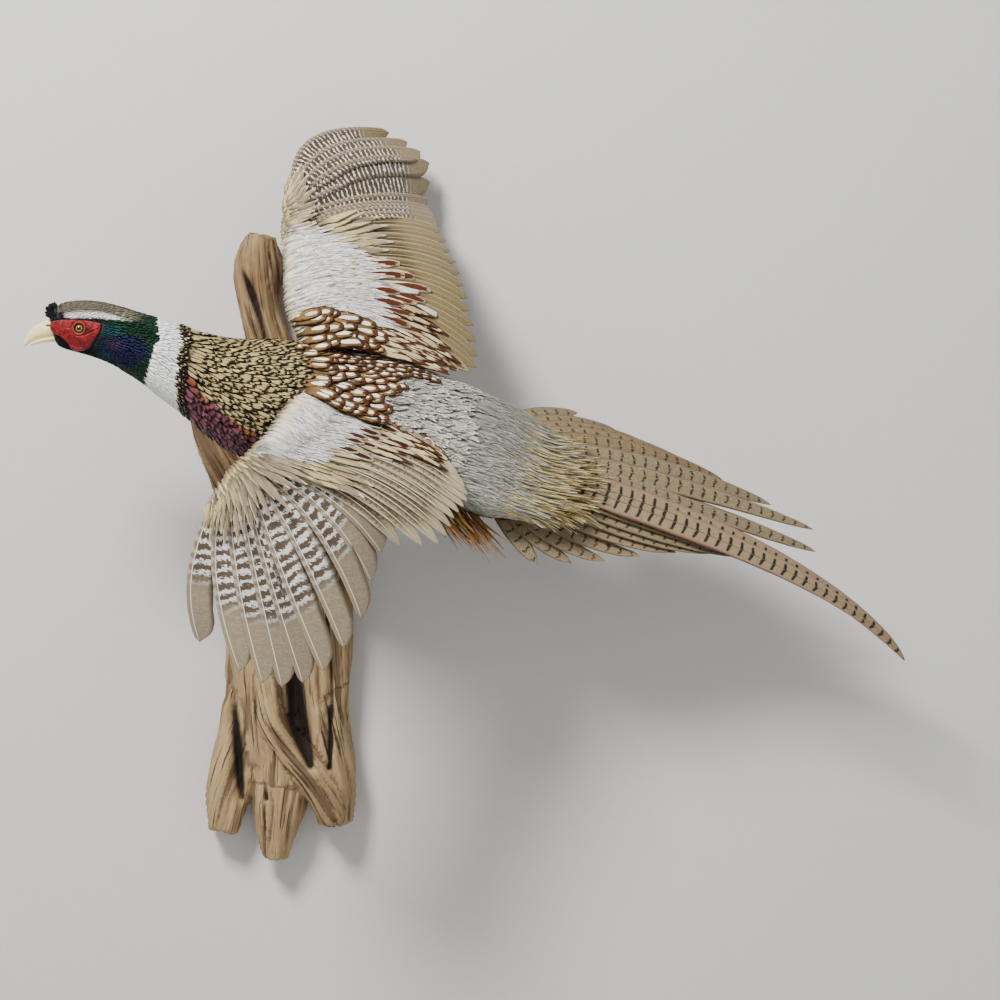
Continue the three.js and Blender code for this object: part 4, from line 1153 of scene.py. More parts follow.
def mark_skin():
    """Gives the skin the plumage's colours and its own unwrap, a chart for each part."""
    points = SKIN_POINTS / MM
    x, turn, ratio, _ = body_coordinates(points)
    charts = [(x, np.radians(turn), ratio), arm_chart(points, LEFT_WING), arm_chart(points, RIGHT_WING),
              thigh_chart(points, -1), thigh_chart(points, 1)]
    which = np.array([c[2] for c in charts]).argmin(axis=0)
    zones = zone_of(x, turn, points)
    colour = np.empty((len(points), 3))
    for zone, row in ZONES.items():
        hit = zones == zone
        colour[hit] = linear(row[10]) * 0.7 + linear(row[12]) * 0.3
    on_head = np.isin(zones, ["face", "neck"])
    colour[on_head] = head_colours(points[on_head], turn[on_head])[0]
    colour[(which == 1) | (which == 2)] = linear("aaa596")
    colour[which > 2] = linear("4a3828")
    put_attribute(skin, "Main", np.concatenate([colour, np.ones((len(points), 1))], axis=1))
    # Corner and size of each chart on the unwrap.
    boxes = np.array([(0.02, 0.31, 0.93, 0.67), (0.02, 0.15, 0.45, 0.13), (0.52, 0.15, 0.45, 0.13),
                      (0.02, 0.02, 0.45, 0.1), (0.52, 0.02, 0.45, 0.1)])
    count = len(skin.data.polygons)
    corners = np.empty(len(skin.data.loops), np.int32)
    skin.data.loops.foreach_get("vertex_index", corners)
    starts, totals = np.empty(count, np.int32), np.empty(count, np.int32)
    skin.data.polygons.foreach_get("loop_start", starts)
    skin.data.polygons.foreach_get("loop_total", totals)
    face = np.repeat(np.arange(count), totals)
    chart = which[corners[starts]][face]
    along = np.array([(x + 210) / 530] + [c[0] for c in charts[1:]])[chart, corners]
    angle = np.array([c[1] for c in charts])[chart, corners]
    first = np.array([c[1] for c in charts])[chart, corners[starts][face]]
    angle = first + (angle - first + np.pi) % (2 * np.pi) - np.pi
    spot = np.stack([along, np.clip((angle + np.pi) / (2 * np.pi), -0.01, 1.01)], axis=1)
    uv = boxes[chart, :2] + spot * boxes[chart, 2:]
    layer = skin.data.uv_layers.new(name="OFBake")
    layer.data.foreach_set("uv", uv.astype(np.float32).ravel())


def skin_material():
    web = new_material("feathered_skin", Sheen_Weight=0.1)
    main, _, _ = web.attribute("Main")
    fuzz = web.grain(600.0, 4.0, 0.7)
    shade = fuzz * 0.6 + 0.3
    return web.finished(web.shaded(main, shade), fuzz * 0.2 + 0.7, fuzz, 0.0008, 0.6)


mark_skin()
settle(skin, skin_material(), "mantle",
       "head", "neck", "trunk", "rump", "wing_left_arm", "wing_right_arm", "thigh_left", "thigh_right")


def build_quill_marks(web, given):
    """Colours of a wing or tail feather: cross bars, plain end, pale edge, shaft and barbs."""
    u, v, _ = web.split(web.uv("Vane"))
    _, trait, _ = web.attribute("Trait")
    turned, length, chance = web.split(trait)
    outer_to_inner = u * (turned * -2.0 + 1.0) + turned
    side = abs(outer_to_inner * 2.0 - 1.0)
    inner = web.ramp(outer_to_inner, 0.49, 0.53)
    y = v * length
    shift = chance * 53.0
    slow = web.noise(web.vector(y * 0.07, outer_to_inner * 3.0, shift), 1.0, 2.0, 0.6)
    barb = y - side * 9.0
    fine = web.noise(web.vector(barb * 0.95, outer_to_inner * 2.0, shift), 1.0, 3.0, 0.7)
    spotted = web.noise(web.vector(barb * 0.5, outer_to_inner * 14.0, shift), 1.0, 2.0, 0.6)
    ragged = (spotted - 0.5) * given["Ragged"]
    wander = (slow - 0.5) * given["Wander"]
    phase = web.math("FRACT", (y + side * 2.5) / given["Bar spacing"] + (wander + chance))
    off = abs(phase - 0.5) + ragged
    half = given["Bar share"] * 0.5
    half = half * (side * given["Widening"] + 1.0)
    bar = web.ramp(off, half + 0.05, half - 0.05)
    only_inner = given["Inner only"] * (inner - 1.0) + 1.0
    from_tip = length * (1.0 - v)
    barred = web.ramp(ragged * 14.0 + from_tip, given["Plain tip"] - 12.0, given["Plain tip"] + 12.0)
    across = web.ramp(side + ragged, given["Bar reach"] + 0.1, given["Bar reach"])
    bar = bar * only_inner * (barred * across)
    ground = web.mix(web.ramp(spotted, 0.42, 0.62), given["Ground"], given["Mottle"])
    shaded = barred * only_inner * given["Shade"]
    # The dark ground fades from the shaft towards the free edge: partly the feather's own darker middle, partly
    # painted shade where the neighbour laps over.
    shaded = shaded * web.ramp(side, given["Shade reach"], 0.15)
    ground = web.mix(shaded, ground, given["Dark"])
    colour = web.mix(bar, ground, given["Bar colour"])
    at_edge = web.ramp(side + (slow - 0.5) * 0.4, 0.74, 0.92)
    colour = web.mix(at_edge * given["Edge share"], colour, given["Edge colour"])
    streak = (fine - 0.5) * 0.75 + 1.0
    colour = web.shaded(colour, streak)
    colour = web.mix(1.0, colour, web.attribute("Main")[0], "MULTIPLY")
    at_shaft = web.ramp(side, given["Shaft width"] + 0.03, given["Shaft width"])
    colour = web.mix(at_shaft, colour, given["Shaft colour"])
    height = fine * 0.8 + at_shaft * 0.6
    return {"Colour": colour, "Height": height, "Roughness": fine * 0.2 + 0.42}


# Inputs of the effect that the table below fills for each kind of feather, colours first.
QUILL_INPUTS = ["Ground", "Mottle", "Bar colour", "Edge colour", "Shaft colour", "Dark", "Bar spacing", "Bar share",
                "Inner only", "Plain tip", "Edge share", "Ragged", "Wander", "Bar reach", "Shade", "Widening",
                "Shaft width", "Shade reach"]
QUILLS = {
    "primary_vane": ("998970", "a8987e", "f3efe5", "c0b092", "f4ead0", "4a3b2e",
        10.6, 0.25, 0.6, 64, 0.35, 1.15, 1.1, 2, 0.9, 1.3, 0.05, 3),
    # Darker copy for the right wing's primaries: painted shade on the far wing, with bars of its own.
    "brown_primary_vane": ("7d6c4d", "8d7c5c", "f0e9da", "b09f82", "5f4c34", "3a2d22",
        6.2, 0.2, 0.6, 36, 0.35, 0.9, 1.3, 2, 0.9, 0.6, 0.05, 3),
    "secondary_vane": ("b3a27a", "cdbe98", "55442f", "f3ead2", "f4ebd0", "5f4c32",
        6.5, 0.34, 0, 26, 1, 1.7, 3, 0.6, 0.95, -0.4, 0.07, 0.95),
    # Darker copy for the right wing's secondaries: painted shade on the far wing, with bars of its own.
    "khaki_secondary_vane": ("7d6c45", "8b7a53", "574728", "ad9d70", "b7a677", "3f311b",
        6, 0.12, 0, 60, 0.95, 1.5, 3, 0.4, 0.95, -0.5, 0.05, 0.95),
    "tertial_vane": ("9d8a5e", "b3a277", "83704e", "5a2f1a", "e2d4ae", "6f5b3a",
        7, 0.2, 0, 10, 1, 1.4, 1, 0.6, 0.8, 0.9, 0.05, 0.9),
    "tail_vane": ("7b6c50", "8d7e61", "2c2118", "6d5a3f", "8a7148", "43352a",
        12.5, 0.24, 0, -30, 0.85, 0.4, 0.35, 0.6, 0, -0.5, 0.05, 3),
    "central_tail_vane": ("948262", "897558", "17110e", "9a6f62", "5f4c34", "43352a",
        12, 0.32, 0, -30, 0.9, 0.2, 0.25, 0.66, 0, -0.4, 0.05, 3),
}
quill_marks = effect_group("quill_marks", dict(zip(QUILL_INPUTS, QUILLS["primary_vane"])),
                           {"Colour": COLOUR, "Height": VALUE, "Roughness": VALUE}, build_quill_marks)


def quill_material(name):
    web = new_material(name, Sheen_Weight=0.06, Specular_IOR_Level=0.4)
    out = use_group(web, quill_marks, **dict(zip(QUILL_INPUTS, QUILLS[name])))
    return web.finished(out["Colour"], out["Roughness"], out["Height"], 0.0003, 0.6)


vanes = {name: quill_material(name) for name in QUILLS}

# Stations closer together towards the tip of a wing or tail feather.
TIPWARD = np.concatenate([np.linspace(0, 0.84, 17), [0.88, 0.915, 0.943, 0.965, 0.98, 0.991, 0.997]])


def quill_outline(widths, outer=0.55, inner=1.0, round_outer=0.94, round_inner=0.86):
    """Half width on each side of the shaft, rounded at the tip; the outer web is the narrow one."""
    half = np.interp(TIPWARD, np.linspace(0, 1, len(widths)), widths)
    columns = []
    for reach, start in ((outer, round_outer), (inner, round_inner)):
        tip = np.sqrt(np.clip(1 - ((TIPWARD - start) / (1.0005 - start)) ** 2, 0, 1))
        columns.append(reach * half * np.where(TIPWARD > start, tip, 1))
    steps = np.array([1, 0.72, 0.42, 0.12])
    return np.concatenate([-columns[0][:, None] * steps, np.zeros((len(half), 1)),
                           columns[1][:, None] * steps[::-1]], axis=1)


def cells(count, columns, rows, gap=0.006):
    """Even cells of the unwrap: the corner and size of each."""
    i = np.arange(count)
    size = np.array([0.98 / columns, 0.98 / rows])
    corner = 0.01 + np.stack([i % columns, i // columns], axis=1) * size + gap / 2
    return corner, np.tile(size - gap, (count, 1))


def quill_part(table, number, neighbours, upper_way, half, outline, thick, lean, offset, seed, patch, tint=None):
    """Whole feathers laid in the fan, each leaning under the next one towards the body."""
    number = np.asarray(number, float)
    dice = np.random.default_rng(seed)
    places = wing_place(number, table) if neighbours == "wing" else number
    root, bend, tip = np.hsplit(between(table, places)[:, -9:], 3)
    count = len(root)
    _, length = quill_share(root, bend, tip, np.zeros(count))
    line = np.empty((count, len(TIPWARD), 3))
    toward = np.empty_like(line)
    last = table[-1][0] if neighbours == "wing" else 17
    for k, share in enumerate(TIPWARD):
        t, _ = quill_share(root, bend, tip, length * share)
        line[:, k] = quill_point(root, bend, tip, t)
        sides = []
        for step in (-0.8, 0.8):
            near = np.hsplit(between(table, np.clip(places + step, 0, last))[:, -9:], 3)
            near_t, _ = quill_share(*near, np.linalg.norm(near[0] - near[2], axis=1) * share)
            sides.append(quill_point(*near, near_t))
        toward[:, k] = sides[1] - sides[0]
    tangent = unit(np.gradient(line, axis=1))
    normal = np.cross(tangent, unit(toward))
    normal *= np.sign((normal * np.asarray(upper_way)).sum(-1, keepdims=True))
    # Where the neighbours end early the feather keeps the fan's own upper side.
    sure = smooth(np.linalg.norm(normal, axis=-1, keepdims=True), 0.35, 0.8)
    normal = unit(unit(normal) * sure + unit(np.asarray(upper_way)) * (1 - sure))
    side = np.cross(tangent, normal)
    same = np.sign((side * toward).sum(-1).mean())
    line = line + normal * np.reshape(offset, (-1, 1, 1))
    half = half * (1 + dice.normal(0, 0.02, count))
    blank = np.ones((count, 4))
    return dict(
        line=line * MM, normal=normal, half=half * MM, outline=outline if same > 0 else -outline[:, ::-1],
        thick=thick * MM, lean=np.full(count, -lean * same), camber=0.05, ragged=0.05, v=TIPWARD,
        Main=colour_rows(np.ones(3) * 0.97 if tint is None else tint, count, 1.0, 0.055, seed + 9),
        Centre=blank, Edge=blank,
        Trait=np.stack([np.full(count, 0.0 if same > 0 else 1.0), length, dice.random(count)], axis=1),
        patch=patch)


PRIMARY_SHAPE = [0.4, 0.7, 0.9, 1, 1, 1, 1, 0.99, 0.97, 0.94, 0.9]
SECONDARY_SHAPE = [0.5, 0.85, 1, 1, 1, 1, 0.98, 0.92, 0.82, 0.66, 0.45]
BLUNT_SHAPE = [0.5, 0.85, 1, 1, 1, 1, 1, 1, 0.97, 0.9, 0.8]
WING_UP = (0.0, -1.0, 0.05)
WINGS = {"left": LEFT_WING, "right": RIGHT_WING}
for side_index, (side_name, table) in enumerate(WINGS.items()):
    primaries, secondaries, tertials = np.arange(0, 10), np.arange(10, 22), np.arange(22, 25)
    secondary_shape = SECONDARY_SHAPE if side_name == "left" else BLUNT_SHAPE
    # The right wing takes darker copies of the left wing's primary and secondary finishes: painted shade on the far
    # wing.
    groups = [
        ("primaries", primaries, 14.5, quill_outline(PRIMARY_SHAPE, 0.27, 1.5),
         vanes["primary_vane"] if side_name == "left" else vanes["brown_primary_vane"], 0.06),
        ("secondaries", secondaries, 12.0, quill_outline(secondary_shape, 0.6, 1.1, 0.86, 0.7),
         vanes["secondary_vane"] if side_name == "left" else vanes["khaki_secondary_vane"], 0.14),
        ("tertials", tertials, 14.0, quill_outline(SECONDARY_SHAPE, 0.8, 1.0, 0.85, 0.8), vanes["tertial_vane"],
         0.05),
    ]
    for group, numbers, half, outline, material, lean in groups:
        patch = cells(len(numbers), *{10: (5, 2), 12: (6, 2), 3: (3, 1)}[len(numbers)])
        part = quill_part(table, numbers, "wing", WING_UP, half, outline, 0.55, lean,
                          0.075 * (numbers - numbers[0]), 300 + side_index, patch)
        feather_piece(f"{group}_{side_name}", [part], material, "quills", f"wing_{side_name}_{group}", seed=310)

TAIL_UP = (0.0, -0.866, 0.5)
# Reddish brown outer feathers on the right, greyer ones next to the long middle pair, khaki on the left.
TAIL_TINTS = np.array([(0.93, 0.9, 0.84)] * 2 + [(0.93, 0.83, 0.73)] * 3 + [(0.95, 0.95, 0.98)] * 3
                      + [(1.0, 0.97, 0.94)] * 2 + [(1.0, 1.0, 0.96)] * 8)
TAIL_SHAPE = np.array([(0.55 + 0.45 * smooth(3 * t)) * (1 - 0.72 * t ** 3.0) for t in np.linspace(0, 1, 21)])
CENTRAL_SHAPE = np.array([(0.55 + 0.45 * smooth(3 * t)) * (1 - 0.72 * t ** 2.1) for t in np.linspace(0, 1, 21)])
for piece_name, numbers, half, shape, outer, material in (
        ("tail_right", np.arange(0, 8), 13.5, TAIL_SHAPE, 0.72, vanes["tail_vane"]),
        ("tail_middle", np.arange(8, 10), 15.5, CENTRAL_SHAPE, 0.97, vanes["central_tail_vane"]),
        ("tail_left", np.arange(10, 18), 13.5, TAIL_SHAPE, 0.72, vanes["tail_vane"])):
    # The outer web of a left feather lies on the far side of its number order.
    leftward = numbers[0] > 9
    outline = quill_outline(shape, 1.0 if leftward else outer, outer if leftward else 1.0)
    part = quill_part(TAIL, numbers, "tail", TAIL_UP, half, outline, 0.6, -0.06 if leftward else 0.06,
                      2.4 - 0.32 * np.abs(numbers - 8.5), 330 + int(numbers[0]),
                      cells(len(numbers), {8: 4, 2: 2}[len(numbers)], {8: 2, 2: 1}[len(numbers)]),
                      TAIL_TINTS[numbers])
    feather_piece(f"{piece_name}_feathers", [part], material, "tail", piece_name, seed=340)


# ---- wing coverts
def covert_height(distance, drop=1.0):
    """Height of the coverts above the wing, deepest over the arm."""
    return (0.7 + 3.4 * np.clip(1 - distance / 120, 0, 1) * drop) * smooth(distance, -7, 14)


def numbers_along(table, first, last, distance, gap, dice):
    """Feather numbers at an even gap across the wing, the given distance behind its front."""
    fine = np.linspace(first, last, 240)
    place, _, _ = wing_surface(table, fine, np.full(240, distance))
    run = running(place)
    count = max(int(run[-1] / gap), 2)
    spots = (np.arange(count) + 0.5 + dice.uniform(-0.25, 0.25, count)) / count * run[-1]
    return np.interp(spots, run, fine)


def covert_row(table, first, last, distance, gap, length, half, outline, seed, colours,
               upper=1.0, rise=1.6, layer=0.0, gloss=0.05, shaft=0.3, ragged=0.14, drift=0.0, spread=0.1,
               lean=0.0, thick=0.16):
    dice = np.random.default_rng(seed)
    number = numbers_along(table, first, last, distance, gap, dice)
    count = len(number)
    size = 1 + dice.normal(0, 0.08, count)
    start = distance + dice.uniform(-1.2, 1.2, count)
    stations = len(outline)
    line = np.empty((count, stations, 3))
    up = np.empty_like(line)
    sway = dice.normal(drift, spread, count)
    # On the hand the coverts lie along the quills, as the thumb's feathers do.
    row = between(table, wing_place(number, table))
    quill_way = unit(row[:, 6:9] - row[:, 3:6])
    begin, _, _ = wing_surface(table, number, start, upper)
    along_quill = smooth(11.5 - number, 0, 2.5)[:, None] * (upper > 0)
    for k in range(stations):
        share = k / (stations - 1)
        reach = start + length * size * share
        place, normal, _ = wing_surface(table, np.clip(number + sway * share, -0.4, PAST_WING_END), reach, upper)
        place = place + (begin + quill_way * (length * size * share)[:, None] - place) * along_quill * 0.75
        high = covert_height(reach, 1.0 if upper > 0 else 0.6) - 0.9 + (0.9 + rise) * share + layer
        line[:, k] = place + normal * high[:, None]
        up[:, k] = normal
    # Most of a row's feathers bear the centre spot, and all the scapular ones do.
    marked = (dice.random(count) < 0.88) | (colours is SCAPULAR)
    return dict(
        line=line * MM, normal=up, half=half * size * MM, outline=outline, thick=thick * MM,
        lean=lean + dice.normal(0, 0.08 if lean == 0 else 0.015, count), ragged=ragged,
        **colouring(count, colours, seed, gloss, shaft, marked))


SILVER = ("c9c7c1", "e8e6e0", "fbfaf7", 0, 0.34, 0.3, 1.0)
SILVER_WARM = ("d9d0b6", "e8e6e0", "efe9d8", 0, 0.2, 0.12, 0.5)
BLOTCHED = {"left": ("e2ddd1", "38180c", "c0a983", 0.5, 0.12, 0.1, 0.6),
            "right": ("e2ddd1", "53260f", "c0a983", 0.6, 0.12, 0.1, 0.6)}
CHESTNUT_EDGED = ("cfbf96", "f2ecde", "4c2a14", 0, 0.5, 0.14, 0.6)
CREAM = ("bbab80", "ddd0ad", "a5926a", 0, 0.22, 0.12, 0.45)
HAND = ("93826a", "cdbf9d", "ded1ae", 0, 0.3, 0.16, 0.7)
PALE_BUFF = ("cfbd8e", "e2d7b6", "b29c69", 0, 0.2, 0.1, 0.4)
SCAPULAR = ZONES["scapular"][10:]
UNDER = ("b9b1a2", "cfc8bb", "d6d0c4", 0, 0.16, 0.1, 0.35)

def shoulder_feathers(table, seed):
    """Scapular feathers that lie across the groove between the wing's root and the back."""
    dice = np.random.default_rng(seed)
    roots, ways = [], []
    for k, step in enumerate((-6, 2, 10, 18, 26)):
        distance = np.arange(0, 108, 9.0) + 4.5 * (k % 2)
        edge, _, course = wing_surface(table, np.full(len(distance), 24.0), distance)
        further, _, _ = wing_surface(table, np.full(len(distance), 22.0), distance)
        inward = unit(edge - further)
        roots.append(edge + inward * step)
        ways.append(unit(course * np.array([1, 0.3, 1]) + inward * 0.42))
    root, way = np.concatenate(roots), np.concatenate(ways)
    root, way = kept(over_skin(root) < 0.024, root, way)
    count = len(root)
    size = 1 + dice.normal(0, 0.06, count)
    line, up = lie_on_skin(root, unit(way + dice.normal(0, 0.05, (count, 3))), 33 * size, len(DROP), 5.2)
    return dict(line=line, normal=up, half=6.7 * size * MM, outline=DROP, thick=0.12 * MM,
                lean=0.07 + dice.normal(0, 0.015, count), ragged=0.14,
                **colouring(count, SCAPULAR, seed, 0.02, 0.0))


# Rows of coverts: distance behind the front edge, first and last feather, gap, length, half width, colours.
# Coverts of the hand, then over the outer secondaries, then over the inner ones and the tertials.
HAND_ROWS = [
    (17, 0.6, 10.5, 5.4, 46, 3.6, HAND), (9, 0.5, 10.5, 4.8, 38, 3.3, HAND), (3, 0.4, 11.0, 4.2, 30, 3.0, CREAM),
    (0, 0.3, 11.0, 3.6, 23, 2.7, PALE_BUFF), (-2, 0.2, 11.0, 3.2, 17, 2.4, PALE_BUFF),
    (56, 9.5, 19, 8.4, 54, 6.2, HAND), (47, 9.0, 19, 7.6, 46, 5.6, CREAM), (39, 8.5, 18, 6.6, 38, 5.0, CREAM),
]
# The hand's coverts are shorter on the right wing, whose fan is closed.
HAND_REACH = {"left": 1.0, "right": 0.62}
INNER_ROWS = {
    "left": [(112, 19, 24.5, 8.0, 60, 5.6, CHESTNUT_EDGED), (98, 18, 24.5, 8.0, 56, 5.4, CHESTNUT_EDGED),
             (84, 16.5, 24.5, 8.4, 50, 5.0, CHESTNUT_EDGED), (74, 15.5, 24.4, 10.5, 46, 4.8, BLOTCHED["left"]),
             (63, 15, 24.4, 10.5, 42, 4.8, BLOTCHED["left"]), (53, 14.5, 24.3, 10.5, 38, 4.8, BLOTCHED["left"])],
    "right": [(94, 22.4, 25.9, 5.0, 54, 5.4, CHESTNUT_EDGED), (78, 22.6, 25.9, 5.0, 52, 5.4, CHESTNUT_EDGED),
              (62, 22.8, 25.9, 5.0, 52, 5.4, CHESTNUT_EDGED), (118, 20, 24.5, 8.0, 50, 5.6,
                                                               CHESTNUT_EDGED), (106, 19, 24.5, 8.0, 48, 5.4,
                                                                                 CHESTNUT_EDGED),
              (95, 16.5, 24.5, 10.5, 50, 5.6, BLOTCHED["right"]), (83, 15.5, 24.4, 11.5, 50, 5.6, BLOTCHED["right"]),
              (70, 14.5, 24.4, 12.0, 50, 5.6, BLOTCHED["right"])],
}
SILVER_DEPTH = {"left": 50, "right": 72}

for side_index, (side_name, table) in enumerate(WINGS.items()):
    rows = []
    seed = 400 + 200 * side_index
    for d, first, last, gap, length, half, colours in HAND_ROWS + INNER_ROWS[side_name]:
        on_hand = last < 12
        if on_hand:
            length, d = length * HAND_REACH[side_name], d * HAND_REACH[side_name]
        blotched = colours is BLOTCHED[side_name]
        outline = DROP if blotched else LANCE
        rows.append(covert_row(table, first, last, d, gap, length, half, outline, seed, colours,
                               rise=1.0, shaft=0.0 if blotched else 0.25, ragged=0.3,
                               layer=0.6 if blotched else 1.5 if colours is CHESTNUT_EDGED else 0.0,
                               spread=0.05 if on_hand else 0.09))
        seed += 7
    # Silvery small coverts over the arm, in overlapping rows from behind to the front edge.
    deep = SILVER_DEPTH[side_name]
    for d in np.arange(deep, -3, -4.2):
        reach_in = np.interp(d, [0, 12, 34, deep], [8.8, 10.0, 12.0, 15.0])
        length = 33 - 12 * float(smooth(16 - d, 0, 16))
        rows.append(covert_row(table, reach_in, 24.4, float(d), 3.1, length, 2.7, LANCE, seed,
                               SILVER if d > 2 else SILVER_WARM, shaft=0.25, rise=0.4, layer=0.5, ragged=0.6,
                               drift=0.05, spread=0.22))
        seed += 7
    # Scapular feathers over the shoulder, over more of the right wing at its front.
    for d in (56, 44, 33, 22.5, 12, 2):
        inmost = 20.2 + 0.04 * d if side_name == "right" else 23.4
        outmost = 25.8 if side_name == "right" else 24.9
        rows.append(covert_row(table, inmost, outmost, float(d), 8.0, 33, 6.8, DROP, seed, SCAPULAR, shaft=0.0,
                               layer=1.0, rise=3.2, drift=0.25, spread=0.05, lean=0.07, thick=0.12))
        seed += 7
    if side_name == "right":
        rows.append(shoulder_feathers(table, 391))
    # Under the wing.
    for d in (70, 54, 40, 28, 18, 9, 1):
        rows.append(covert_row(table, 9.5, 24.4, float(d), 6.5, 30, 4.8, LANCE, seed, UNDER, upper=-1.0,
                               rise=1.2, shaft=0.1))
        seed += 7
    for d in (12, 4, -1):
        rows.append(covert_row(table, 0.2, 9.8, float(d), 5.5, 34, 3.8, LANCE, seed, UNDER, upper=-1.0,
                               rise=1.0, shaft=0.1))
        seed += 7
    total = sum(len(r["line"]) for r in rows)
    columns = int(np.ceil(np.sqrt(total)))
    corner, extent = cells(total, columns, columns, 0.002)
    start = 0
    for row in rows:
        stop = start + len(row["line"])
        row["patch"] = corner[start:stop], extent[start:stop]
        start = stop
    feather_piece(f"coverts_{side_name}", rows, plumage, "mantle", seed=seed)


# ---- eyes, bill and facial skin
EYE_X, EYE_Z, EYE_RADIUS, EYE_SPREAD, HEAD_MID_Y = -167.5, 213.6, 5.4, 14.2, -222


def head_side(x, z, side):
    """Place on the side of the head at the given x and z; side is -1 for the left."""
    centre, _, _, _, half_w, half_h = body_frame(station_at(x))
    drop = np.clip(1 - ((z - centre[:, 2]) / half_h) ** 2, 0.40, 1)
    return centre[:, 1] + side * half_w * np.sqrt(drop)


def closed_polar(radii, steps=720):
    """Distance of a closed outline from the eye at even angles."""
    edge = np.array(radii, float) - (EYE_X, EYE_Z)
    dense = np.concatenate([np.linspace(a, b, 40, endpoint=False) for a, b in zip(edge, np.roll(edge, -1, axis=0))])
    angle = np.arctan2(dense[:, 1], dense[:, 0])
    order = np.argsort(angle)
    angle, reach = angle[order], np.hypot(*dense.T)[order]
    turn = np.linspace(-np.pi, np.pi, steps, endpoint=False)
    even = np.interp(turn, np.concatenate([angle - 2 * np.pi, angle, angle + 2 * np.pi]), np.tile(reach, 3))
    kernel = np.hanning(31) / np.hanning(31).sum()
    return turn, np.convolve(np.concatenate([even[-30:], even, even[:30]]), kernel, "same")[30:-30]


def make_red_skin(side_name, side):
    turn, reach = closed_polar(RED_SKIN_EDGE)
    turn, reach = turn[::5], reach[::5]
    inner = 4.35 + 0.25 * np.cos(2 * turn)
    front = np.linspace(0, 1, 34) ** 0.92
    rows, masks = [], []
    for share in front:
        r = inner + (reach - inner) * share
        x, z = EYE_X + r * np.cos(turn), EYE_Z + r * np.sin(turn)
        lobe = smooth(206 - z, 0, 14)
        swell = 1.5 + 1.6 * lobe
        dome = swell * np.sqrt(np.clip(1 - share ** 5, 0, 1)) - 2.2 * smooth(share, 0.93, 1.0)
        lid = 1.3 * np.exp(-((r - 5.6) / 0.75) ** 2) - 0.9 * np.exp(-((r - 7.4) / 0.7) ** 2)
        fold_line = np.abs((z - EYE_Z + 4.6) - 0.42 * (x - EYE_X - 9))
        fold = -1.1 * np.exp(-(fold_line / 0.8) ** 2) * smooth(x - EYE_X, 2, 6) * smooth(18 - (x - EYE_X), 0, 6)
        grain = np.array([0.42 * abs(noise.noise(Vector((a * 0.85, b * 0.85, side * 9.0)))) ** 0.6
                          + 0.25 * noise.noise(Vector((a * 0.3, b * 0.3, 4.0))) for a, b in zip(x, z)])
        eye_dip = 2.2 * smooth(6.4 - r, 0, 2.2)
        y = head_side(x, z, side) + side * (dome + lid + fold + grain * smooth(r, 5, 8) - eye_dip)
        rows.append(np.stack([x, y, z], axis=1))
        masks.append(np.stack([np.full(len(x), share), r, np.abs(fold)], axis=1))
    for share, depth in ((0.97, 3.6), (0.6, 5.4), (0.2, 5.8)):
        r = inner + (reach - inner) * share
        x, z = EYE_X + r * np.cos(turn), EYE_Z + r * np.sin(turn)
        rows.append(np.stack([x, head_side(x, z, side) - side * depth, z], axis=1))
        masks.append(np.stack([np.full(len(x), share), r, np.zeros(len(x))], axis=1))
    points = np.array(rows)
    count, around = points.shape[:2]
    faces = grid_faces(count, around, wrap=True)
    last = (count - 1) * around
    j = np.arange(around)
    closing = np.stack([last + j, last + (j + 1) % around, (j + 1) % around, j], axis=1)
    obj = mesh_of(f"face_skin_{side_name}", points.reshape(-1, 3) * MM, np.concatenate([faces, closing]))
    put_attribute(obj, "Skin", np.concatenate(masks))
    bare = np.concatenate(masks)
    outer_rows = np.arange(len(bare)) < 34 * len(turn)
    share, radius = bare[:, 0], bare[:, 1]
    for label, mask in (("Beaded", (radius > 6.8) & (share < 0.9)),
                        ("Pinned", (radius > 8.0) & (share > 0.3) & (share < 0.97))):
        layer = obj.data.attributes.new(label, "BOOLEAN", "POINT")
        layer.data.foreach_set("value", (mask & outer_rows).astype(bool))
    return settle(outward(obj), red_skin, "plumage")


def red_skin_material():
    web = new_material("red_face_skin", Subsurface_Weight=0.12, Subsurface_Scale=0.002,
                       Subsurface_Radius=(1.0, 0.3, 0.15), Specular_IOR_Level=0.4)
    _, skin_mask, _ = web.attribute("Skin")
    share, radius, fold = web.split(skin_mask)
    warts = web.cells(780.0)
    bead = 1.0 - warts
    broad = web.grain(170.0, 3.0, 0.6)
    colour = web.mix(web.ramp(broad, 0.36, 0.64), "50020a", "980410")
    colour = web.mix(web.ramp(bead, 0.35, 0.8) * 0.35, colour, "bb1a24")
    dots = web.cells(420.0)
    speck = web.ramp(dots, 0.2, 0.12) * web.ramp(share, 0.52, 0.9)
    colour = web.mix(speck * 0.9, colour, "140607")
    # Painted shade: a dark patch behind the eye and a dark line along the skin's fold stand for the shade in that
    # crease; the paler lid round the eye is its own colour.
    x, _, z = web.split(web.place())
    aside = (x + 0.1600) / 0.0056
    below = (z - 0.2118 + (x + 0.1600) * -0.35) / 0.0026
    fold_shade_patch = aside * aside + below * below
    colour = web.mix(web.ramp(fold_shade_patch, 1.25, 0.35) * 0.85, colour, "2c0306")
    lid = web.ramp(radius, 6.6, 5.8)
    colour = web.mix(lid * 0.6, colour, "8c6238")
    colour = web.mix(web.ramp(radius, 5.0, 4.6), colour, "1c120c")
    # Painted shade along the crease of the fold.
    colour = web.mix(web.ramp(fold, 0.25, 0.9) * 0.85, colour, "3a0507")
    colour = web.mix(web.ramp(share, 0.95, 0.99), colour, "4a070b")
    return web.finished(colour, bead * -0.2 + 0.62, bead, 0.0005, 0.7)


red_skin = red_skin_material()


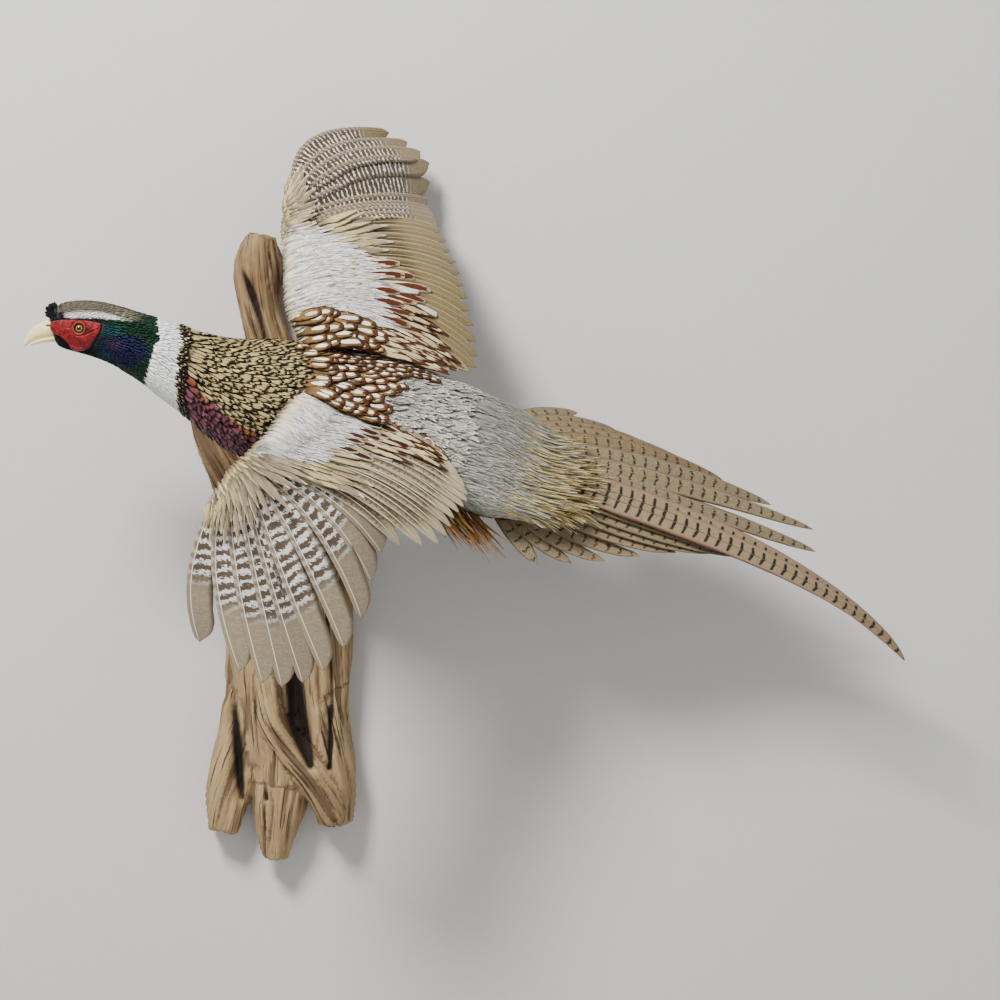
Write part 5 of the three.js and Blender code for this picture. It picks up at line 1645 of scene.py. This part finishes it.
def eye_material():
    web = new_material("glass_eye", Roughness=0.08, Coat_Weight=1.0, Coat_Roughness=0.02,
                                         Specular_IOR_Level=0.7)
    x, _, z = web.split(web.place())
    dx = x - EYE_X * MM
    dz = z - EYE_Z * MM
    radius = web.math("SQRT", dx * dx + dz * dz) * 1000.0
    turn = web.math("ARCTAN2", dx, dz)
    rays = web.noise(web.vector(turn * 9.0, radius * 0.7, 0.0), 1.0, 2.0)
    iris = web.mix(rays, "6e4618", "b08544")
    iris = web.mix(web.ramp(radius, 3.1, 3.8), iris, "4a2c14")
    colour = web.mix(web.ramp(radius, 1.95, 2.15), "050404", iris)
    colour = web.mix(web.ramp(radius, 4.0, 4.4), colour, "171008")
    return web.finished(colour)


def make_eye(side_name, side, material):
    centre = np.array([EYE_X, HEAD_MID_Y + side * EYE_SPREAD, EYE_Z])
    ring_turn = np.linspace(0, 2 * np.pi, 32, endpoint=False)
    rings = []
    for polar in np.radians(np.linspace(6, 174, 20)):
        radius = EYE_RADIUS * (1 + 0.05 * math.exp(-(polar / 0.5) ** 2))
        ring = np.stack([np.cos(ring_turn) * np.sin(polar), np.full(32, side * np.cos(polar)),
                         np.sin(ring_turn) * np.sin(polar)], axis=1)
        rings.append(centre + ring * radius)
    settle(tube_object(f"eyeball_{side_name}", np.array(rings) * MM), material, "eye", f"eye_{side_name}")


# Centre x and z, half width, height above and depth below the centre.
BILL_TOP = [
    (-184, 215.3, 8.4, 9.0, 9.4), (-192, 215.3, 7.9, 9.0, 9.0), (-198, 214.9, 7.2, 8.8, 8.7), (-204, 213.3, 6.3, 8.2,
                                                                                               7.8),
    (-209.5, 211.2, 5.3, 7.3, 6.7), (-214, 208.6, 4.3, 6.0, 5.4), (-218, 205.2, 3.2, 4.4, 4.0), (-221.4, 201.4, 2.1,
                                                                                                 2.8, 2.4),
    (-223.8, 197.8, 1.1, 1.3, 1.2),
]
BILL_UNDER = [
    (-184, 205.4, 6.8, 2.8, 3.6), (-192, 205.0, 6.3, 2.6, 3.2), (-198, 204.4, 5.6, 2.3, 2.8), (-204, 203.4, 4.7, 2.0,
                                                                                               2.4),
    (-210, 201.8, 3.6, 1.6, 1.9), (-214.5, 200.4, 2.5, 1.1, 1.4), (-218, 199.0, 1.2, 0.7, 0.8),
]


def make_bill(name, rows, material, node):
    rows = numbered(rows)
    place = np.linspace(0, len(rows) - 1, 40)
    row = between(rows, place)
    turn = np.linspace(0, 2 * np.pi, 36, endpoint=False)
    wide = np.sign(np.cos(turn)) * np.abs(np.cos(turn)) ** 0.85
    high = np.where(np.sin(turn) > 0, np.abs(np.sin(turn)) ** 1.15, -np.abs(np.sin(turn)) ** 0.75)
    tangent = unit(np.gradient(row[:, :2], axis=0))
    upward = np.stack([-tangent[:, 1], tangent[:, 0]], axis=1)
    upward *= np.sign(upward[:, 1:2])
    half = np.where(high[None] > 0, row[:, 3:4], row[:, 4:5]) * high[None]
    ring = np.stack([row[:, 0:1] + upward[:, 0:1] * half, HEAD_MID_Y + row[:, 2:3] * wide[None],
                     row[:, 1:2] + upward[:, 1:2] * half], axis=-1)
    if "upper" in name:
        slit = np.hypot((ring[..., 0] + 199.0) / 3.6, (ring[..., 2] - 217.0 - 0.3 * (ring[..., 0] + 199)) / 1.1)
        ring[..., 1] -= np.sign(ring[..., 1] - HEAD_MID_Y) * 1.6 * np.exp(-slit ** 2)
    settle(tube_object(name, ring * MM), material, "horn", node)


def horn_material():
    web = new_material("bill_horn", Specular_IOR_Level=0.5, Subsurface_Weight=0.06,
                                         Subsurface_Scale=0.002)
    x, y, z = web.split(web.place())
    along = web.noise(web.vector(x * 90.0, y * 500.0, z * 700.0), 1.0, 3.0, 0.6)
    colour = web.mix(along, "efd992", "fcebb6")
    base = web.ramp(x, -0.203, -0.194)
    colour = web.mix(base * 0.35, colour, "a9945f")
    # Painted shade: the nostril slit is darkened to stand for the shade inside its opening.
    dx = (x + 0.199) / 0.0032
    dz = (z - 0.217) / 0.0012
    slit = dx * dx + dz * dz
    colour = web.mix(web.ramp(slit, 1.3, 0.5), colour, "2a2016")
    return web.finished(colour, along * 0.2 + 0.3, along, 0.0002, 0.4)


def scatter_tree(name, shape):
    """Small shapes strewn over the marked part of a surface, each standing on it and sized by chance."""
    tree = bpy.data.node_groups.new(name, "GeometryNodeTree")
    for label, kind, value in (("Surface", "NodeSocketGeometry", None), ("Marked by", "NodeSocketString", ""),
                               ("Least gap", "NodeSocketFloat", 0.001), ("Density", "NodeSocketFloat", 1e6),
                               ("Width", "NodeSocketFloat", 0.0004), ("Height", "NodeSocketFloat", 0.0004),
                               ("Seed", "NodeSocketInt", 1), ("Finish", "NodeSocketMaterial", None)):
        socket = tree.interface.new_socket(label, in_out="INPUT", socket_type=kind)
        if value is not None:
            socket.default_value = value
    tree.interface.new_socket("Shapes", in_out="OUTPUT", socket_type="NodeSocketGeometry")
    web = Web(tree)
    given, end = web.put("NodeGroupInput").outputs, web.put("NodeGroupOutput")
    marked = web.add("GeometryNodeInputNamedAttribute", {"data_type": "BOOLEAN"}, Name=given["Marked by"])
    strew = web.add("GeometryNodeDistributePointsOnFaces", {"distribute_method": "POISSON"},
                    Mesh=given["Surface"], Selection=marked.outputs["Attribute"],
                    Distance_Min=given["Least gap"], Density_Max=given["Density"], Seed=given["Seed"])
    if shape == "bead":
        one = web.add("GeometryNodeMeshIcoSphere", {}, Radius=1.0, Subdivisions=1)
    else:
        one = web.add("GeometryNodeMeshCone", {}, Vertices=5, Radius_Top=0.12, Radius_Bottom=1.0, Depth=1.0)
    chance = web.add("FunctionNodeRandomValue", {"data_type": "FLOAT"}, Seed=given["Seed"])
    chance.inputs[2].default_value, chance.inputs[3].default_value = 0.6, 1.3
    wide, high = (web.math("MULTIPLY", chance.outputs[1], given[label]) for label in ("Width", "Height"))
    grow = web.add("GeometryNodeInstanceOnPoints", {}, Points=strew.outputs["Points"], Instance=one.outputs["Mesh"],
                   Rotation=strew.outputs["Rotation"], Scale=web.vector(wide, wide, high))
    whole = web.add("GeometryNodeRealizeInstances", {}, Geometry=grow.outputs[0])
    finish = web.add("GeometryNodeSetMaterial", {}, Geometry=whole.outputs[0], Material=given["Finish"])
    rounded = web.add("GeometryNodeSetShadeSmooth", {}, Geometry=finish.outputs[0])
    web.feed(end.inputs[0], rounded.outputs[0])
    return tree


def scattered(name, surface, tree, slot, **settings):
    """A piece of plain mesh grown from a surface by a scatter tree with the given settings."""
    grow = surface.modifiers.new("grow", "NODES")
    grow.node_group = tree
    for item in tree.interface.items_tree:
        label = item.name.replace(" ", "_")
        if item.in_out == "INPUT" and label in settings:
            grow[item.identifier] = settings[label]
    made = plain_mesh(surface)
    made.materials.clear()
    made.polygons.foreach_set("material_index", np.zeros(len(made.polygons), np.int32))
    settle(linked(name, made), settings["Finish"], slot)


def pin_feather_material():
    web = new_material("pin_feathers", Specular_IOR_Level=0.4)
    tone = web.grain(800.0, 2.0, 0.5)
    return web.finished(web.mix(tone, "0b0808", "241414"), tone * 0.2 + 0.45)


pin_feathers = pin_feather_material()
bead_tree, pin_tree = scatter_tree("skin_beads", "bead"), scatter_tree("pin_feathers", "pin")
glass_eye, bill_horn = eye_material(), horn_material()
for side_name, side in (("left", -1), ("right", 1)):
    make_eye(side_name, side, glass_eye)
    face = make_red_skin(side_name, side)
    scattered(f"face_beads_{side_name}", face, bead_tree, "plumage", Marked_by="Beaded", Least_gap=0.0010,
              Density=9e5,
              Width=0.00052, Height=0.00042, Seed=5 + side, Finish=red_skin)
    scattered(f"face_pins_{side_name}", face, pin_tree, "plumage", Marked_by="Pinned", Least_gap=0.0015,
              Density=1.6e5,
              Width=0.00022, Height=0.0016, Seed=11 + side, Finish=pin_feathers)
make_bill("upper_bill", BILL_TOP, bill_horn, "bill_upper")
make_bill("under_bill", BILL_UNDER, bill_horn, "bill_lower")


# ---- feet and claws
def round_limb(name, stations, steps, around):
    return tube_object(name, limb_rings(stations, steps, around))


def make_foot(side_name, sign, scale_material, claw_material):
    _, _, heel, foot = leg_stations(sign)
    wide = body_frame(0.9 * BODY_LAST)[2][0]
    shin = unit(foot - heel)
    down = unit(np.cross(shin, wide))
    pieces = [round_limb("tarsus", [[*(heel - shin * 4), 5.2, 5.2], [*(heel * 0.7 + foot * 0.3), 3.8, 3.5],
                                    [*(heel * 0.25 + foot * 0.75), 3.6, 3.2], [*foot, 5.0, 4.4]], 26, 20)]
    spur = heel * 0.38 + foot * 0.62
    spur_tip = spur - wide * sign * 13 + shin * 4
    claws = [round_limb("spur", [[*(spur - wide * sign * 1.5), 2.7, 2.7], [*(spur * 0.4 + spur_tip * 0.6), 1.7, 1.7],
                                 [*spur_tip, 0.3, 0.3]], 12, 14)]
    for spread, length, forward in ((-0.42, 37, True), (0, 50, True), (0.42, 40, True), (0.1, 15, False)):
        way = unit(shin * (1 if forward else 0.35) + wide * spread * sign + down * (0.1 if forward else -1))
        curl = down * (0.34 if forward else 0)
        start = foot - way
        middle = start + way * length * 0.55 + curl * length * 0.14
        end = start + way * length * 0.95 + curl * length * 0.62
        rows = []
        joints = 4 if forward else 2
        for k in range(joints * 2 + 1):
            t = k / (joints * 2)
            at = (1 - t) ** 2 * start + 2 * t * (1 - t) * (middle * 2 - (start + end) / 2) + t * t * end
            thick = (3.3 - 1.0 * t) * (1.12 if k % 2 == 0 else 0.9)
            rows.append([*at, thick, thick * 0.95])
        pieces.append(round_limb("toe", rows, 30, 16))
        ahead = unit(end - middle)
        tip = end + ahead * 11 + curl * 8
        claws.append(round_limb("claw", [[*(end - ahead * 1.2), 2.0, 2.0], [*(end + ahead * 5.5 + curl * 1.5), 1.5,
                                                                            1.6],
                                         [*tip, 0.25, 0.3]], 12, 14))
    foot_obj = remeshed(joined(f"scaled_foot_{side_name}", pieces), 0.0009, 3)
    claw_obj = joined(f"claws_{side_name}", claws)
    claw_obj.data.shade_smooth()
    settle(foot_obj, scale_material, "scale", f"foot_{side_name}")
    settle(claw_obj, claw_material, "claw",
           *[f"claw_{side_name}_{toe}" for toe in ("inner", "middle", "outer", "hind")])


def scale_skin_material():
    web = new_material("leg_scales", Specular_IOR_Level=0.45)
    plates = web.cells(420.0, "DISTANCE_TO_EDGE")
    plate = web.ramp(plates, 0.02, 0.16)
    broad = web.grain(90.0, 3.0, 0.6)
    colour = web.mix(broad, "857a68", "a99c84")
    return web.finished(web.mix(plate, "4d443a", colour), plate * -0.25 + 0.7, plate, 0.0004, 0.8)


def claw_horn_material():
    web = new_material("claw_horn", Specular_IOR_Level=0.5)
    streak = web.grain(400.0, 3.0, 0.6)
    return web.finished(web.mix(streak, "3a3029", "6b5c4a"), streak * 0.2 + 0.32, streak, 0.0002, 0.4)


leg_scales, claw_horn = scale_skin_material(), claw_horn_material()
for side_name, sign in (("left", -1), ("right", 1)):
    make_foot(side_name, sign, leg_scales, claw_horn)

# ---- driftwood
WOOD_LIMBS = [
    [[-9, -22, 324, 15, 20], [-12, -22, 292, 27, 25], [-10, -22, 245, 20, 26], [2, -22, 196, 27, 32],
     [22, -22, 100, 43, 42], [24, -22, 0, 58, 44], [19, -22, -108, 66, 43], [16, -22, -190, 61, 41], [14, -20, -226,
                                                                                                      50, 34]],
    [[-80, -20, 148, 7, 9], [-62, -20, 104, 15, 20], [-22, -22, 40, 30, 34], [2, -22, -30, 40, 40]],
    [[-20, -20, -170, 30, 34], [-42, -20, -250, 25, 27], [-50, -18, -297, 16, 19]],
    [[14, -22, -180, 30, 38], [10, -22, -270, 28, 32], [5, -20, -328, 12, 16]],
    [[46, -22, -170, 34, 38], [64, -22, -240, 25, 30], [67, -20, -290, 17, 20]],
    [[-2, -48, -110, 13, 12], [8, -55, -180, 19, 15], [46, -50, -240, 18, 15], [68, -36, -284, 12, 12]],
]
# Fissures and hollows: centre, half width and depth.
WOOD_GROOVES = [
    [[-28, -52, 290, 2, 5], [-17, -51, 262, 3.4, 12], [-6, -54, 224, 2, 6], [0, -58, 180, 2, 5]],
    [[-38, -62, -60, 2, 4], [-40, -62, -106, 3.6, 10], [-34, -60, -190, 5.5, 17], [-28, -48, -262, 3.5, 12]],
    [[14, -72, -110, 3, 8], [26, -70, -140, 9, 20], [33, -66, -188, 10, 24], [44, -60, -226, 4, 12]],
    [[-14, -66, -150, 1.5, 4], [-10, -66, -210, 2.6, 7], [-2, -56, -262, 2, 6]],
    [[62, -56, -60, 1.5, 4], [66, -58, -140, 2.4, 6], [64, -50, -230, 2, 5]],
]


def axis_samples(tables, per_limb=120):
    """Dense samples of the limbs' axes: points, tangents, half sizes and running length."""
    points, tangents, sizes, runs, which = [], [], [], [], []
    for index, stations in enumerate(tables):
        rows = numbered(stations)
        place = np.linspace(0, len(stations) - 1, per_limb)
        row = between(rows, place)
        points.append(row[:, :3])
        tangents.append(unit(np.gradient(row[:, :3], axis=0)))
        sizes.append(row[:, 3:5])
        runs.append(running(row[:, :3]))
        which.append(np.full(per_limb, index))
    return tuple(np.concatenate(v) for v in (points, tangents, sizes, runs, which))


def make_driftwood():
    tubes = []
    for stations in WOOD_LIMBS:
        rings = limb_rings(stations, 6 * len(stations), 28, up=(0, 1, 0.0))
        tubes.append(tube_object("limb", rings))
    wood = remeshed(joined("driftwood_grain", tubes), 0.0030, 4)
    points = points_of(wood) / MM
    normal = normals_of(wood)
    axis, tangent, size, run, which = axis_samples(WOOD_LIMBS)
    scaled = np.linalg.norm(points[:, None] - axis[None], axis=2) / (size.mean(axis=1)[None] + 6)
    near = scaled.argmin(axis=1)
    off = points - axis[near]
    side = unit(np.cross(tangent[near], (0.0, -1.0, 0.0)))
    turn = np.arctan2((off * side).sum(1), -off[:, 1])
    reach = size[near].mean(axis=1)
    along, around = run[near] + (off * tangent[near]).sum(1), turn * reach
    seeds = which[near] * 7.3
    twist = around + 9 * np.sin(along * 0.013 + seeds)
    grain = np.array([noise.fractal(Vector((a * 0.009, b * 0.085, s)), 0.8, 2.1, 4) for a, b,
                      s in zip(along, twist, seeds)])
    fine = np.array([noise.noise(Vector((a * 0.02, b * 0.33, s + 3))) for a, b, s in zip(along, twist, seeds)])
    swell = np.array([noise.noise(Vector(p * 0.022)) for p in points])
    height = 2.6 * swell + 2.8 * grain - 1.6 * np.clip(-fine - 0.15, 0, 1) * 3
    groove = np.zeros(len(points))
    deep = np.zeros(len(points))
    g_axis, _, g_size, _, _ = axis_samples(WOOD_GROOVES, 60)
    for centre, (width, depth) in zip(g_axis, g_size):
        flat = (points - centre) * (1.0, 0.35, 1.0)
        share = np.exp(-(np.linalg.norm(flat, axis=1) / (width * 1.15 + 1.2)) ** 2) * (points[:, 1] < -18)
        deep = np.maximum(deep, share * depth)
        groove = np.maximum(groove, share)
    ragged = 1 + 0.35 * fine
    moved = points + normal * height[:, None] * smooth(-points[:, 1], 0, 10)[:, None]
    moved[:, 1] += deep * ragged
    moved[:, 1] = np.where(moved[:, 1] > -0.05, 0.0, moved[:, 1])
    wood.data.vertices.foreach_set("co", (moved * MM).ravel())
    wood.data.update()
    put_attribute(wood, "Grain", np.stack([along / 100, twist / 100, np.maximum(groove, 0)], axis=1))
    put_attribute(wood, "Fibre", np.stack([grain, fine, seeds], axis=1))
    settle(wood, weathered_wood, "wood", "driftwood")


def weathered_wood_material():
    web = new_material("weathered_wood", Specular_IOR_Level=0.25)
    _, grain, _ = web.attribute("Grain")
    _, fibre, _ = web.attribute("Fibre")
    along, around, groove = web.split(grain)
    ridge, _, seed = web.split(fibre)
    place = web.vector(along * 1.0, around * 22.0, seed)
    streak = web.noise(place, 1.0, 5.0, 0.62)
    thin = web.noise(web.vector(along * 3.0, around * 90.0, seed), 1.0, 3.0, 0.7)
    crack = web.noise(web.vector(along * 1.6, around * 40.0, seed), 1.0, 2.0, 0.5)
    patchy = web.grain(14.0, 3.0, 0.6)
    colour = web.mix(web.ramp(streak, 0.34, 0.66), "664f37", "9c815b")
    colour = web.mix(web.ramp(patchy, 0.45, 0.7) * 0.55, colour, "b29972")
    # Painted light: the lower part of the wood is made paler, making up for the light that falls off towards the
    # bottom.
    low = web.ramp(web.split(web.place())[2], -0.02, -0.16)
    colour = web.mix(low * 0.45, colour, "c9ad80")
    colour = web.mix(web.ramp(thin, 0.52, 0.7) * 0.6, colour, "5a452e")
    colour = web.mix(web.ramp(ridge, -0.1, -0.45) * 0.75, colour, "4f3b2b")
    # Painted shade: the cracks and the deep fissures and hollows are darkened almost to black, for the shade inside
    # them.
    at_crack = web.ramp(crack, 0.4, 0.33)
    colour = web.mix(at_crack * 0.85, colour, "2c1d14")
    colour = web.mix(web.ramp(groove, 0.3, 0.75), colour, "1e140f")
    height = streak * 0.8 + thin * 0.3
    return web.finished(colour, streak * 0.2 + 0.66, height - at_crack * 0.6, 0.002, 0.9)


weathered_wood = weathered_wood_material()
make_driftwood()


# ---- hanger and rods
def steel_material():
    web = new_material("dull_steel", Metallic=1.0)
    brushed = web.grain(900.0, 3.0, 0.7)
    spots = web.grain(60.0, 3.0, 0.6)
    colour = web.mix(brushed, "6f7072", "a3a5a6")
    return web.finished(web.mix(web.ramp(spots, 0.6, 0.75), colour, "6b4a33"), brushed * 0.25 + 0.3, brushed, 0.0001,
                        0.4)


dull_steel = steel_material()
for node in ("hanger_strip", "mount_rod_1", "mount_rod_2"):
    for slot_index in bpy.data.objects[node].material_slots:
        slot_index.material = dull_steel


# ---- stage, light and camera
def plain_material(name, colour, rough):
    web = new_material(name, Roughness=rough)
    grain = web.grain(60.0, 4.0, 0.6)
    return web.finished(web.mix(grain, colour, "ffffff"), None, grain, 0.001, 0.15)


ONE_QUAD = np.arange(4)[None]


def make_stage():
    """A pale wall just behind the mount, seen from the front only, and a pale floor far below."""
    web = new_material("pale_wall", Roughness=0.95)
    fine = web.grain(140.0, 5.0, 0.7)
    broad = web.grain(3.0, 3.0, 0.5)
    tone = web.mix(broad * 0.5, "d9d8d6", "cfcecc")
    wall_material = web.finished(web.mix(fine * 0.3, tone, "c6c5c3"), None, fine, 0.0012, 0.35)
    clear = web.put("ShaderNodeBsdfTransparent").outputs[0]
    blend = web.put("ShaderNodeMixShader")
    web.feed(blend.inputs[0], web.put("ShaderNodeNewGeometry").outputs["Backfacing"])
    web.feed(blend.inputs[1], web.shader.outputs[0])
    web.feed(blend.inputs[2], clear)
    web.feed(web.tree.nodes["Material Output"].inputs["Surface"], blend.outputs[0])
    y = 0.0015
    wall = mesh_of("wall", [(-2.2, y, -1.6), (2.6, y, -1.6), (2.6, y, 2.0), (-2.2, y, 2.0)], ONE_QUAD)
    wall.data.materials.append(wall_material)
    floor = mesh_of("floor", [(-3.5, -4.5, -1.6), (3.9, -4.5, -1.6), (3.9, 2.5, -1.6), (-3.5, 2.5, -1.6)], ONE_QUAD)
    floor.data.materials.append(plain_material("pale_floor", "d6d4d0", 0.8))


def add_light(name, place, target, size, power, colour=(1, 1, 1)):
    lamp = bpy.data.lights.new(name, "AREA")
    lamp.size, lamp.energy, lamp.color = size, power, colour
    holder = linked(name, lamp)
    holder.location = place
    holder.rotation_euler = (Vector(target) - Vector(place)).to_track_quat("-Z", "Y").to_euler()


def make_light_and_camera():
    middle = (0.2, -0.15, 0.05)
    add_light("window", (-0.9, -1.9, 1.9), middle, 0.7, 130, (1.0, 0.985, 0.965))
    add_light("fill", (1.6, -2.4, 0.6), middle, 2.0, 8, (0.98, 0.99, 1.0))
    add_light("back_fill", (0.4, 2.2, 1.6), middle, 2.0, 30, (1.0, 1.0, 1.0))
    world = bpy.data.worlds.new("room")
    world.use_nodes = True
    world.node_tree.nodes["Background"].inputs["Color"].default_value = (0.97, 0.98, 1.0, 1)
    world.node_tree.nodes["Background"].inputs["Strength"].default_value = 0.38
    bpy.context.scene.world = world
    lens = bpy.data.cameras.new("camera")
    lens.sensor_width, lens.lens = 36.0, 102.6
    camera = linked("camera", lens)
    camera.location = (0.240, -3.0, 0.0474)
    camera.rotation_euler = (math.pi / 2, 0, 0)
    bpy.context.scene.camera = camera


make_stage()
make_light_and_camera()
